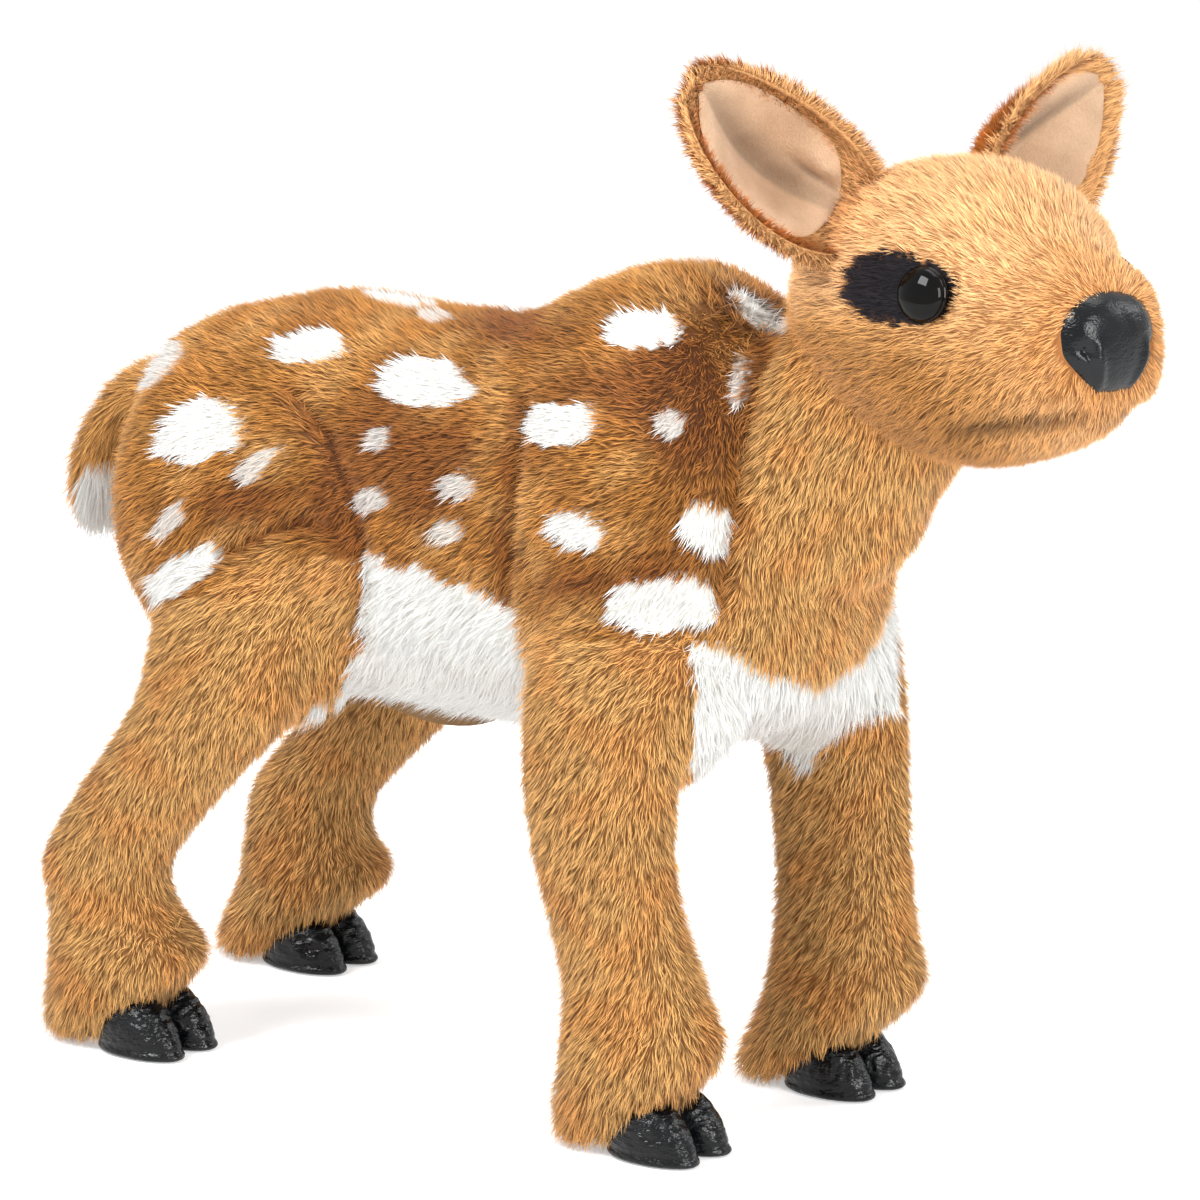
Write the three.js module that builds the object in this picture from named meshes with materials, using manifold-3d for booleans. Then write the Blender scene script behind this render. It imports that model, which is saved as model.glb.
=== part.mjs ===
// A standing fawn hand puppet: plush coats over stuffing, with a hand passage from the belly to the head.
// Millimetres. The fawn looks along +X, +Z is up, +Y is its left, and the ground is z = 0.
// The sizes below count x from the middle of the belly and y from the seam along the back.
import * as THREE from "three";
import { mergeVertices } from "three/addons/utils/BufferGeometryUtils.js";
import Module from "manifold-3d";

const wasm = await Module();
wasm.setup();

// Thicknesses and clearances
const coatThickness = 2.6;
const liningThickness = 1.2;
const seamGap = 0.3;
const swingGap = 1.0;
const across = 400;
// Fullness of the ovals of tubes and limbs, where 2 is an ellipse and more is squarer
const tubeFullness = 2.2;
const legFullness = 2.1;
const tailFullness = 2;
// The middle of the whole fawn's outline seen from above, which is set over the origin
const standingCentre = new THREE.Vector3(35, 13, 0);

// Torso, as stations along X: x, half width, top height, bottom height
const torsoRows = [
  [-133, 10, 212, 186],
  [-128, 30, 222, 166],
  [-116, 45, 231, 144],
  [-96, 57, 238, 123],
  [-66, 62, 244, 113],
  [-28, 60, 243, 115],
  [14, 58, 248, 116],
  [44, 60, 262, 116],
  [70, 62, 269, 117],
  [96, 59, 257, 121],
  [116, 49, 240, 131],
  [130, 34, 220, 147],
  [136, 14, 200, 166],
];
const torsoRings = 14;
const torsoSides = 20;
const torsoFullness = 2.25;

// Seams of the torso coat, seen from the side
const bellySeamHeight = 160;
const chestSeamX = 94;
const breastSeamX = 108;
const chestSeamHeight = 146;
const rumpSeamX = -112;
const rumpSeamHeight = 180;

// Hand passage: x, z, half width, half height, from the belly opening to the neck joint
const passageRows = [
  [-30, 84, 30, 27],
  [-30, 112, 30, 27],
  [-14, 143, 29, 26],
  [24, 156, 28, 25],
  [64, 164, 27, 24],
  [88, 178, 26, 24],
  [108, 199, 25, 23],
];
const passageSides = 12;
const passageRings = 8;
const hemWidth = 5;
const hemDrop = 3;
// How far the passage's cut runs past its last station, and the neck's past its balls
const passagePast = 8;
const borePast = 10;

// Neck, from its joint in the chest to its joint in the head
const neckBase = new THREE.Vector3(108, 0, 199);
const neckTop = new THREE.Vector3(150, 0, 246);
const neckBaseRadius = 39;
const neckTopRadius = 34;
const neckWaistRadius = 36;
const neckPassageRadius = 23;
const neckTurn = 20;
const neckSides = 16;
const flareFullness = 2.3;
// The neck turns on a round tongue under its lower end, and the head nods on a pivot at the left of its upper end
const pivotSides = 22;
const tongueRadius = 17;
const tongueDrop = 5;
const tongueFront = 6;
const nodPivotRadius = 7;
const nodPivotReach = 6;

// Head, in its own frame: stations x, half width, top, bottom
const headCentre = new THREE.Vector3(184, 0, 266);
const headYaw = -12;
const headRoll = -5;
const headRows = [
  [-66, 8, 10, -16],
  [-61, 24, 22, -26],
  [-48, 36, 34, -36],
  [-30, 44, 43, -43],
  [-10, 47, 46.5, -46],
  [9, 45, 43, -45.5],
  [26, 38.5, 34, -40.5],
  [39, 31, 25, -35],
  [49, 24.5, 16, -28.5],
  [56, 17, 7, -21],
  [59, 8, 0, -13],
];
const headRings = 12;
const headSides = 16;
const headFullness = 2.15;
const nodDown = 15;
const nodUp = 16;
const nodSpare = 4;
// The neck widens below its upper joint, so its rear edge needs this much more room than its ball when it nods
const nodBallSpare = 1.5;

// Mouth: the jaw turns about a line across the head, and the lips meet on a plane that rises to the front
const jawPivot = new THREE.Vector2(14, -31);
const mouthRise = 14;
const jawOpening = 25;
const palateThickness = 1.0;
const palateInset = 7;
const palateSetBack = 2;
const palateRearAngle = -10;
// Degrees that the throat is cut past the jaw's opening, and how far the mouth's cuts reach
const jawSpare = 2;
const mouthReach = 150;

// Pockets inside the head and the jaw: x, z, half width, half height
const fingerPocketRows = [
  [-34, -20, 22, 17],
  [-12, -8, 22, 15],
  [10, -3, 19, 12],
  [32, -2, 14, 10],
];
const thumbPocketRows = [
  [-10, -37.4, 10, 4.3],
  [12, -37, 9, 4.2],
  [20, -35, 7.5, 3.8],
  [30, -31.9, 5, 2.9],
];
const thumbLiningThickness = 0.8;
const pocketSides = 10;

// Eyes: glossy domes on stems, each held by a washer inside the head
const eyePlace = new THREE.Vector3(15, 41, 9.5);
const eyeRadius = 7.6;
const eyeBulge = 4.6;
const eyeStemRadius = 2.2;
const eyeStemLength = 9;
const eyeWasherRadius = 6.5;
const eyeWasherThickness = 1.6;
const eyeWasherStandoff = 1;
const eyeHolePast = 3;
const eyeSides = 12;

// Nose
const nosePlace = new THREE.Vector3(48, 0, -2);
const noseRadii = new THREE.Vector3(14.5, 18, 16.5);
const noseSides = 12;
const noseRings = 8;

// Ears: a cupped leaf of velvet backed with plush
const earRoot = new THREE.Vector3(-22.8, 30.5, 30.9);
const earLength = 72;
const earHalfWidth = 23;
// Shares: the outline's width at the root, and how much of a half sine it follows to the tip
const earRootShare = 0.17;
const earTipShare = 0.985;
// How much farther the ear's lower edge stands out than its upper edge
const earLowerRatio = 1.3;
const earOutlineFullness = 0.55;
const earCup = 26;
// Where along a half sine the bowl's depth starts at the root and ends near the tip
const earCupStartShare = 0.25;
const earCupEndShare = 0.97;
const earRings = 7;
const earColumns = 6;
const earBackThickness = 3;
const earLiningThickness = 1.6;
const earRim = 4.5;
const earLean = 54;
const earSweep = 23;
const earFacing = -10;
const earFold = 15;
const earFoldSpare = 4;
const earFoldSteps = 4;
// The socket around the ear's root: depth behind the face, half width, height
const earSocket = new THREE.Vector3(20, 18, 18);
// The round roll of cloth at the ear's root, on which it folds
const earRollRadius = 3;
const earRollHalfLength = 11;
const earRollSides = 16;
const earLiningStart = 0.09;

// Legs: z, x, half length, half width, and how far the inner side stands off the hip face
const hipFace = 40;
const frontShoulder = new THREE.Vector2(82, 146);
const frontShoulderRadius = 37;
const rearHip = new THREE.Vector2(-64, 146);
const rearHipRadius = 38;
const shoulderBulge = 31;
const legSwing = 15;
// Above this height a leg stays outside its hip face; below it the leg may swell inwards under the belly
const legInnerStart = 101;
const frontRows = [
  [146, 82, 31, 15.5, 0],
  [121, 79, 28.5, 17, 0],
  [96, 78, 22.5, 17.5, -1],
  [75, 80, 21, 18, -4],
  [53, 85, 23, 20, -9],
  [32, 90, 28.5, 24, -13],
  [14, 78, 25, 23, -13],
  [2, 71, 17, 18, -8],
];
const rearRows = [
  [146, -64, 32.5, 15.5, 0],
  [120, -69, 31, 18, 0],
  [101, -84, 28, 18, -1],
  [82, -101, 26, 18, -2],
  [61, -117, 24, 19, -5],
  [46, -118, 23.5, 20, -8],
  [30, -113, 29.5, 24, -12],
  [14, -127, 25, 23, -12],
  [2, -132, 17, 18, -8],
];
const legRings = 8;
const legSides = 12;
const shoulderSides = 14;
const legClearanceDrop = 70;
// How each foot stands: forward shift of the foot, forward bow of the knee, and outward shift of the foot
const legStance = {
  front_right: { stride: 0, bow: 0, spread: 0 },
  front_left: { stride: -7, bow: 14, spread: -4 },
  rear_right: { stride: 0, bow: 0, spread: 0 },
  rear_left: { stride: -19, bow: 5, spread: 8 },
};

// Hooves: two vinyl toes side by side under the front of each foot
const hoofForward = 19;
const toeHalfLength = 16.5;
const toeHalfWidth = 9;
const toeHeight = 22;
const toeSpacing = 16.5;
const toeBridge = 17;
const toeSides = 10;
const toeFullness = 2.4;
// Toe stations as shares of its height, and how it shortens, narrows and leans back on the way up
const toeStations = [0, 0.2, 0.55, 0.85, 1];
const toeShortening = 0.5;
const toeShorteningPower = 2.2;
const toeNarrowing = 0.35;
const toeSoleShare = 0.93;
const toeLeanBack = 4;
const bridgeUnderside = 3;
const bridgeRearShare = 0.6;
const bridgeFront = 2;
// Room for the hoof in the foot
const hoofRoomLength = 1.5;
const hoofRoomWidth = 1;
const hoofRoomFullness = 5;
const hoofRoomSides = 12;

// Tail: a flat drooping tail, brown above and white below
const tailJoint = new THREE.Vector3(-132, 0, 206);
const tailRows = [
  [-128, 206, 13, 9],
  [-141, 202, 16, 11],
  [-154, 192, 17, 12],
  [-163, 178, 15, 11],
  [-168, 165, 9, 7],
];
const tailWag = 20;
const tailSides = 10;
const tailRings = 7;
// How far the tail's seam runs on past its root, and the height down to which the underside is kept
const tailSeamLead = 20;
const tailSeamFloor = 100;

const radians = THREE.MathUtils.degToRad;

// Materials, as they look on the toy
const cloth = (color) => new THREE.MeshStandardMaterial({ color, roughness: 0.95, metalness: 0 });
const materials = {
  brownPlush: cloth(0x8f5a2c),
  tanPlush: cloth(0xc48f50),
  paleTanPlush: cloth(0xdba668),
  whitePlush: cloth(0xf2efe8),
  velvet: cloth(0xcbb295),
  stuffing: cloth(0xe9e6df),
  lining: cloth(0x9c7a52),
  mouthCloth: cloth(0xb5705f),
  blackVinyl: new THREE.MeshStandardMaterial({ color: 0x222427, roughness: 0.35, metalness: 0 }),
  eyeResin: new THREE.MeshStandardMaterial({ color: 0x060606, roughness: 0.06, metalness: 0 }),
  washerPlastic: new THREE.MeshStandardMaterial({ color: 0xdddddd, roughness: 0.5, metalness: 0 }),
};

// Catmull-Rom interpolation of rows of numbers, giving count rows from the first to the last
function smoothRows(rows, count) {
  return Array.from({ length: count }, (_, i) => {
    const t = (i / (count - 1)) * (rows.length - 1);
    const k = Math.min(Math.floor(t), rows.length - 2);
    const f = t - k;
    const at = (j) => rows[Math.max(0, Math.min(rows.length - 1, j))];
    return rows[0].map((_, c) => {
      const [a, b, d, e] = [at(k - 1)[c], at(k)[c], at(k + 1)[c], at(k + 2)[c]];
      return b + 0.5 * f * (d - a + f * (2 * a - 5 * b + 4 * d - e + f * (3 * (b - d) + e - a)));
    });
  });
}

// A closed solid through rings of points with the same count, its two ends closed by a fan
function skinRings(rings) {
  const sides = rings[0].length;
  const points = rings.flat();
  const faces = [];
  for (let i = 0; i + 1 < rings.length; i++) {
    for (let j = 0; j < sides; j++) {
      const a = i * sides + j;
      const b = i * sides + ((j + 1) % sides);
      faces.push(a, b, b + sides, a, b + sides, a + sides);
    }
  }
  for (const end of [0, rings.length - 1]) {
    const middle = rings[end].reduce((s, p) => s.add(p), new THREE.Vector3()).divideScalar(sides);
    points.push(middle);
    for (let j = 0; j < sides; j++) {
      const a = end * sides + j;
      const b = end * sides + ((j + 1) % sides);
      faces.push(...(end === 0 ? [points.length - 1, b, a] : [points.length - 1, a, b]));
    }
  }
  return solidFrom(points, faces);
}

// A solid from points and triangles, turned right side out if need be
function solidFrom(points, faces) {
  let volume = 0;
  for (let i = 0; i < faces.length; i += 3) {
    const [a, b, c] = [points[faces[i]], points[faces[i + 1]], points[faces[i + 2]]];
    volume += a.dot(new THREE.Vector3().crossVectors(b, c));
  }
  const triVerts = new Uint32Array(faces);
  if (volume < 0) triVerts.reverse();
  const vertProperties = new Float32Array(points.flatMap((p) => [p.x, p.y, p.z]));
  return new wasm.Manifold(new wasm.Mesh({ numProp: 3, vertProperties, triVerts }));
}

// A solid from a closed three.js geometry
function solidOf(geometry) {
  const bare = geometry.index ? geometry.toNonIndexed() : geometry.clone();
  bare.deleteAttribute("normal");
  bare.deleteAttribute("uv");
  const merged = mergeVertices(bare, 1e-4);
  const place = merged.getAttribute("position");
  const points = Array.from({ length: place.count }, (_, i) => new THREE.Vector3().fromBufferAttribute(place, i));
  const index = Array.from(merged.index.array);
  const faces = [];
  for (let i = 0; i < index.length; i += 3) {
    const [a, b, c] = index.slice(i, i + 3);
    if (a !== b && b !== c && c !== a) faces.push(a, b, c);
  }
  return solidFrom(points, faces);
}

// Rigid placing of a solid by a three.js matrix
function placed(solid, matrix) {
  return solid.transform(matrix.elements);
}

// The matrix of a turn about a line through a point
function turnAbout(point, axis, degrees) {
  return new THREE.Matrix4()
    .makeTranslation(point.x, point.y, point.z)
    .multiply(new THREE.Matrix4().makeRotationAxis(axis, radians(degrees)))
    .multiply(new THREE.Matrix4().makeTranslation(-point.x, -point.y, -point.z));
}

// Everything that a solid passes through as it turns about a line, in a few steps
function swept(solid, point, axis, from, to, steps) {
  let all = solid;
  for (let i = 0; i <= steps; i++) {
    const degrees = from + ((to - from) * i) / steps;
    if (degrees !== 0) all = all.add(placed(solid, turnAbout(point, axis, degrees)));
  }
  return all;
}

// The mirror image of a solid in the plane y = 0
function mirrored(solid) {
  return solid.mirror([0, 1, 0]);
}

// A superellipse with its own reach up and down; place maps (across, up) to a point
function ovalRing(sides, fullness, halfWidth, up, down, place) {
  return Array.from({ length: sides }, (_, j) => {
    const angle = (2 * Math.PI * j) / sides;
    const soften = (v) => Math.sign(v) * Math.pow(Math.abs(v), 2 / fullness);
    const c = soften(Math.cos(angle));
    const s = soften(Math.sin(angle));
    return place(halfWidth * c, (s > 0 ? up : down) * s);
  });
}

// Moves the stations of a row list inwards from both ends by a distance
function shortened(value, rows, column, inset) {
  const low = Math.min(rows[0][column], rows.at(-1)[column]);
  const high = Math.max(rows[0][column], rows.at(-1)[column]);
  const middle = (low + high) / 2;
  return middle + ((value - middle) * (high - low - 2 * inset)) / (high - low);
}

// A body along X whose rows give x, half width, top and bottom
function bodyAlongX(rows, rings, sides, fullness, inset) {
  return skinRings(
    smoothRows(rows, rings).map(([x, w, top, bottom]) => {
      const middle = (top + bottom) / 2;
      const half = Math.max((top - bottom) / 2 - inset, 1);
      const width = Math.max(w - inset, 1);
      const at = shortened(x, rows, 0, inset);
      return ovalRing(sides, fullness, width, half, half, (y, z) => new THREE.Vector3(at, y, middle + z));
    }),
  );
}

// A tube along a path in the XZ plane whose rows give x, z, half width and half height; grow widens it
function tubeAlong(rows, rings, sides, grow, extend = 0) {
  const stations = smoothRows(rows, rings);
  return skinRings(
    stations.map(([x, z, w, h], i) => {
      const before = stations[Math.max(0, i - 1)];
      const after = stations[Math.min(stations.length - 1, i + 1)];
      const run = new THREE.Vector3(after[0] - before[0], 0, after[1] - before[1]).normalize();
      const up = new THREE.Vector3(-run.z, 0, run.x);
      const push = i === stations.length - 1 ? extend : 0;
      const centre = new THREE.Vector3(x, 0, z).addScaledVector(run, push);
      return ovalRing(sides, tubeFullness, w + grow, h + grow, h + grow, (y, v) =>
        centre.clone().addScaledVector(up, v).setY(y),
      );
    }),
  );
}

// A box between two corners
function boxBetween(low, high) {
  const size = new THREE.Vector3(high[0] - low[0], high[1] - low[1], high[2] - low[2]);
  const box = new THREE.BoxGeometry(size.x, size.y, size.z);
  box.translate(low[0] + size.x / 2, low[1] + size.y / 2, low[2] + size.z / 2);
  return solidOf(box);
}

// A prism across the fawn whose outline is given in the XZ plane
function prismAcross(outline, width) {
  const shape = new THREE.Shape(outline.map(([x, z]) => new THREE.Vector2(x, z)));
  const prism = new THREE.ExtrudeGeometry(shape, { depth: width, bevelEnabled: false });
  prism.translate(0, 0, -width / 2);
  prism.rotateX(Math.PI / 2);
  return solidOf(prism);
}

// Neck

const neckAxis = neckTop.clone().sub(neckBase).normalize();
const neckLength = neckTop.distanceTo(neckBase);
const zAxis = new THREE.Vector3(0, 0, 1);
const yAxis = new THREE.Vector3(0, 1, 0);
const neckTilt = new THREE.Quaternion().setFromUnitVectors(zAxis, neckAxis);
const neckFrame = new THREE.Matrix4().compose(neckBase, neckTilt, new THREE.Vector3(1, 1, 1));

// A turned shape on the neck's axis with a round end in the chest and in the head
function neckSolid(inset, sides) {
  const profile = [];
  const capSteps = 4;
  for (let i = 0; i <= capSteps; i++) {
    const angle = -Math.PI / 2 + (i / capSteps) * (Math.PI / 2);
    const r = neckBaseRadius - inset;
    profile.push(new THREE.Vector2(r * Math.cos(angle), r * Math.sin(angle)));
  }
  profile.push(new THREE.Vector2(neckWaistRadius - inset, neckLength * 0.5));
  for (let i = 0; i <= capSteps; i++) {
    const angle = (i / capSteps) * (Math.PI / 2);
    const r = neckTopRadius - inset;
    profile.push(new THREE.Vector2(r * Math.cos(angle), neckLength + r * Math.sin(angle)));
  }
  profile[0].x = 0;
  profile.at(-1).x = 0;
  const turned = new THREE.LatheGeometry(profile, sides);
  turned.rotateX(Math.PI / 2);
  return placed(solidOf(turned), neckFrame);
}

// The hand passage through the neck, running past both of its joints by a length
function neckBore(radius, past) {
  const bore = new THREE.CylinderGeometry(radius, radius, neckLength + 2 * past, passageSides);
  bore.rotateX(Math.PI / 2);
  bore.translate(0, 0, neckLength / 2);
  return placed(solidOf(bore), neckFrame);
}

// The room around one end of the neck: a ball about its joint, and a flare along the neck.
// Both are wide enough for the corners of a faceted neck to turn in.
// The flare widens by its own share of the distance across the fawn and in the fawn's upright plane.
// The solid starts at the joint and runs along +Z of its own frame, with Y across the fawn.
function flaredRoom(radius, acrossShare, uprightShare, sides) {
  const reach = neckLength + neckBaseRadius;
  const ballSteps = 8;
  const profile = [];
  const room = (radius + swingGap) / Math.pow(Math.cos(Math.PI / sides), 2);
  for (let i = 0; i <= ballSteps; i++) {
    const angle = Math.PI * (i / ballSteps - 0.5);
    profile.push(new THREE.Vector2(room * Math.cos(angle), room * Math.sin(angle)));
  }
  profile[0].x = 0;
  profile[ballSteps].x = 0;
  const ball = new THREE.LatheGeometry(profile, sides);
  ball.rotateX(Math.PI / 2);
  const rings = [0, reach / 2, reach].map((z) =>
    ovalRing(
      sides,
      flareFullness,
      room + uprightShare * z,
      room + acrossShare * z,
      room + acrossShare * z,
      (a, b) => new THREE.Vector3(a, b, z),
    ),
  );
  return solidOf(ball).add(skinRings(rings));
}

// A round block about the neck's upright turning axis, from inside its lower ball down into the chest
function turningTongue(grow) {
  const bottom = neckBase.z - neckBaseRadius - tongueDrop - grow;
  const top = neckBase.z - neckBaseRadius / 2;
  const block = new THREE.CylinderGeometry(tongueRadius + grow, tongueRadius + grow, top - bottom, pivotSides);
  block.rotateX(Math.PI / 2);
  block.translate(neckBase.x, 0, (top + bottom) / 2);
  return solidOf(block);
}

// How far a point of the neck's line moves across and back for each millimetre from the chest joint
const flareMargin = 0.07;
const neckSide = neckAxis.x * Math.sin(radians(neckTurn)) + flareMargin;
const neckBack = neckAxis.x * (1 - Math.cos(radians(neckTurn))) + flareMargin;
const neckFlare = placed(flaredRoom(neckBaseRadius, neckSide, neckBack, neckSides), neckFrame);
const neckRoomInTorso = neckFlare.add(turningTongue(seamGap));

// Head frame and the pieces cut from the head shape

const xAxis = new THREE.Vector3(1, 0, 0);
const headTurn = new THREE.Quaternion()
  .setFromAxisAngle(zAxis, radians(headYaw))
  .multiply(new THREE.Quaternion().setFromAxisAngle(xAxis, radians(headRoll)));
const headFrame = new THREE.Matrix4().compose(headCentre, headTurn, new THREE.Vector3(1, 1, 1));
const headUnplaced = headFrame.clone().invert();

// The frame of the neck's room in the head: Z down the neck, Y as near to the nodding axis as it can be
const nodAxis = yAxis.clone().applyQuaternion(headTurn);
const roomDown = neckAxis.clone().negate();
const roomUpright = nodAxis.clone().cross(roomDown).normalize();
const neckTopFrame = new THREE.Matrix4()
  .makeBasis(roomUpright, roomDown.clone().cross(roomUpright), roomDown)
  .setPosition(neckTop);

// A round pivot along the nodding axis, from the neck's upper joint out to its left
function nodPivot(grow) {
  const length = neckTopRadius + nodPivotReach + grow;
  const pivot = new THREE.CylinderGeometry(nodPivotRadius + grow, nodPivotRadius + grow, length, pivotSides);
  pivot.translate(0, length / 2, 0);
  const turn = new THREE.Quaternion().setFromUnitVectors(yAxis, nodAxis);
  return placed(solidOf(pivot), new THREE.Matrix4().makeRotationFromQuaternion(turn).setPosition(neckTop));
}

const neckGrowth = (neckBaseRadius - neckTopRadius) / neckLength;
const nodShare = Math.tan(radians(Math.max(nodDown, nodUp) + nodSpare));
const neckInHead = placed(
  flaredRoom(neckTopRadius + nodBallSpare, neckGrowth + flareMargin, nodShare + neckGrowth + flareMargin, neckSides),
  headUnplaced.clone().multiply(neckTopFrame),
).add(placed(nodPivot(seamGap), headUnplaced));

const headShape = (inset) => bodyAlongX(headRows, headRings, headSides, headFullness, inset);

// The space below the mouth, with its corner at the jaw's pivot: lift moves its upper face, back its rear face
function mouthWedge(lift, backAngle) {
  const reach = mouthReach;
  const rise = radians(mouthRise);
  const back = radians(-90 - backAngle);
  const corner = [jawPivot.x - lift * Math.sin(rise), jawPivot.y + lift * Math.cos(rise)];
  const front = [corner[0] + reach * Math.cos(rise), corner[1] + reach * Math.sin(rise)];
  const rear = [corner[0] + reach * Math.cos(back), corner[1] + reach * Math.sin(back)];
  const floor = -2 * reach;
  return prismAcross([corner, front, [front[0], floor], [rear[0], floor], rear], across);
}

// The space in front of the jaw's rear face and below the lips
const jawSpace = (drop) => {
  const forward = boxBetween([jawPivot.x + seamGap, -across, -across], [across, across, across]);
  return mouthWedge(-drop, 0).intersect(forward);
};

const headOuter = headShape(0);
const headInner = headShape(coatThickness);
const headCore = headShape(coatThickness + seamGap);
const lipCut = mouthWedge(seamGap, jawOpening + jawSpare);
const throatCut = mouthWedge(seamGap + palateThickness + seamGap, jawOpening + jawSpare);

function noseSolid(grow) {
  const ball = new THREE.SphereGeometry(1, noseSides, noseRings);
  ball.rotateX(Math.PI / 2);
  ball.scale(noseRadii.x + grow, noseRadii.y + grow, noseRadii.z + grow);
  ball.translate(nosePlace.x, nosePlace.y, nosePlace.z);
  return solidOf(ball);
}

const fingerPocket = (grow, extend) => tubeAlong(fingerPocketRows, 6, pocketSides, grow, extend);
const thumbPocket = (grow, extend) => tubeAlong(thumbPocketRows, 5, pocketSides, grow, extend);

// Eye parts along +Y, then set in the side of the head; side is 1 for the left
const eyeOut = new THREE.Vector3(0.22, 1, 0.12).normalize();
const eyeFrame = new THREE.Matrix4().compose(
  eyePlace,
  new THREE.Quaternion().setFromUnitVectors(yAxis, eyeOut),
  new THREE.Vector3(1, 1, 1),
);

function turnedEyePiece(profile, side) {
  const outline = profile.map(([r, y]) => new THREE.Vector2(r, y));
  const piece = placed(solidOf(new THREE.LatheGeometry(outline, eyeSides)), eyeFrame);
  return side > 0 ? piece : mirrored(piece);
}

function eyeDome(side) {
  const dome = [];
  const steps = 5;
  for (let i = 0; i <= steps; i++) {
    const angle = (i / steps) * (Math.PI / 2);
    dome.push([eyeRadius * Math.cos(angle), eyeBulge * Math.sin(angle)]);
  }
  dome[steps][0] = 0;
  const stem = [
    [0, -eyeStemLength],
    [eyeStemRadius, -eyeStemLength],
    [eyeStemRadius, -coatThickness],
    [eyeRadius, -coatThickness],
  ];
  return turnedEyePiece([...stem, ...dome], side);
}

function eyeWasher(side) {
  const back = -eyeStemLength + eyeWasherStandoff;
  const front = back + eyeWasherThickness;
  const hole = eyeStemRadius + seamGap;
  const ring = [
    [hole, back],
    [eyeWasherRadius, back],
    [eyeWasherRadius, front],
    [hole, front],
    [hole, back],
  ];
  return turnedEyePiece(ring, side);
}

// The hole for an eye: wide enough for the dome through the coat, and for the washer below
function eyeHole(side, radius, depth) {
  const hole = [
    [0, -depth],
    [radius, -depth],
    [radius, eyeBulge + eyeHolePast],
    [0, eyeBulge + eyeHolePast],
  ];
  return turnedEyePiece(hole, side);
}

// Ears

// The ear's own frame: x to its bowl's open side, y across, z to the tip
const earTurn = new THREE.Quaternion()
  .setFromAxisAngle(zAxis, radians(earFacing))
  .multiply(new THREE.Quaternion().setFromAxisAngle(xAxis, radians(-earLean)))
  .multiply(new THREE.Quaternion().setFromAxisAngle(yAxis, radians(-earSweep)));
const earFrame = new THREE.Matrix4().compose(earRoot, earTurn, new THREE.Vector3(1, 1, 1));
const earAxis = yAxis.clone().applyQuaternion(earTurn);

// Half width of the ear at a share s of its length
function earOutline(s) {
  const start = earRootShare / 2;
  const along = start + (1 - start) * s * earTipShare;
  return earHalfWidth * Math.pow(Math.sin(Math.PI * along), earOutlineFullness);
}

// A cupped leaf between two depths behind the ear's face
function earLeaf(front, back) {
  const rows = [];
  for (let i = 0; i <= earRings; i++) {
    const s = i / earRings;
    const half = earOutline(s);
    const depth = Math.min(earCupStartShare + (1 - earCupStartShare) * s, earCupEndShare);
    const cup = earCup * Math.sin(Math.PI * depth) * (half / earHalfWidth);
    const face = [];
    const rear = [];
    for (let j = 0; j <= earColumns; j++) {
      const t = (2 * j) / earColumns - 1;
      const hollow = -cup * (1 - t * t);
      const y = half * t * (t > 0 ? earLowerRatio : 1);
      face.push(new THREE.Vector3(hollow - front, y, earLength * s));
      rear.push(new THREE.Vector3(hollow - back, y, earLength * s));
    }
    rows.push([...face, ...rear.reverse()]);
  }
  return placed(skinRings(rows), earFrame);
}

// A prism through the ear, inside its plush rim
function earTrim() {
  const steps = 9;
  const end = 1 - earRim / earLength;
  const edge = (side) =>
    Array.from({ length: steps + 1 }, (_, i) => {
      const s = earLiningStart + ((end - earLiningStart) * i) / steps;
      const half = Math.max(earOutline(s) - earRim, 1) * (side > 0 ? earLowerRatio : 1);
      return new THREE.Vector2(side * half, earLength * s);
    });
  const shape = new THREE.Shape([...edge(1), ...edge(-1).reverse()]);
  const prism = new THREE.ExtrudeGeometry(shape, { depth: across, bevelEnabled: false });
  prism.translate(0, 0, -across / 2);
  prism.applyMatrix4(new THREE.Matrix4().makeBasis(yAxis, zAxis, xAxis));
  return placed(solidOf(prism), earFrame);
}

function earRoll(grow) {
  const radius = earRollRadius + grow;
  const roll = new THREE.CylinderGeometry(radius, radius, 2 * (earRollHalfLength + grow), earRollSides);
  return placed(solidOf(roll), earFrame);
}

const earBackFace = earLiningThickness + seamGap;
const earBack = () => earLeaf(earBackFace, earBackFace + earBackThickness).add(earRoll(0));
const earForward = xAxis.clone().applyQuaternion(earTurn).multiplyScalar(seamGap);
const earGap = new THREE.Matrix4().setPosition(earForward);
const earLining = () => earLeaf(0, earBackFace).intersect(earTrim()).subtract(placed(earBack(), earGap));
const earClearance = () => {
  const root = boxBetween([-earSocket.x, -earSocket.y, 0], [earRollRadius, earSocket.y, earSocket.z]);
  return placed(root, earFrame);
};

// Legs

// The half ball at the top of a leg, flat on the side that faces the torso
function legTop(centre, radius, inset) {
  const steps = 4;
  const profile = [new THREE.Vector2(0, 0), new THREE.Vector2(radius - inset, 0)];
  for (let i = 1; i <= steps; i++) {
    const angle = (i / steps) * (Math.PI / 2);
    profile.push(new THREE.Vector2((radius - inset) * Math.cos(angle), (shoulderBulge - inset) * Math.sin(angle)));
  }
  profile.at(-1).x = 0;
  const top = new THREE.LatheGeometry(profile, shoulderSides);
  top.translate(centre.x, hipFace, centre.y);
  return solidOf(top);
}

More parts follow.
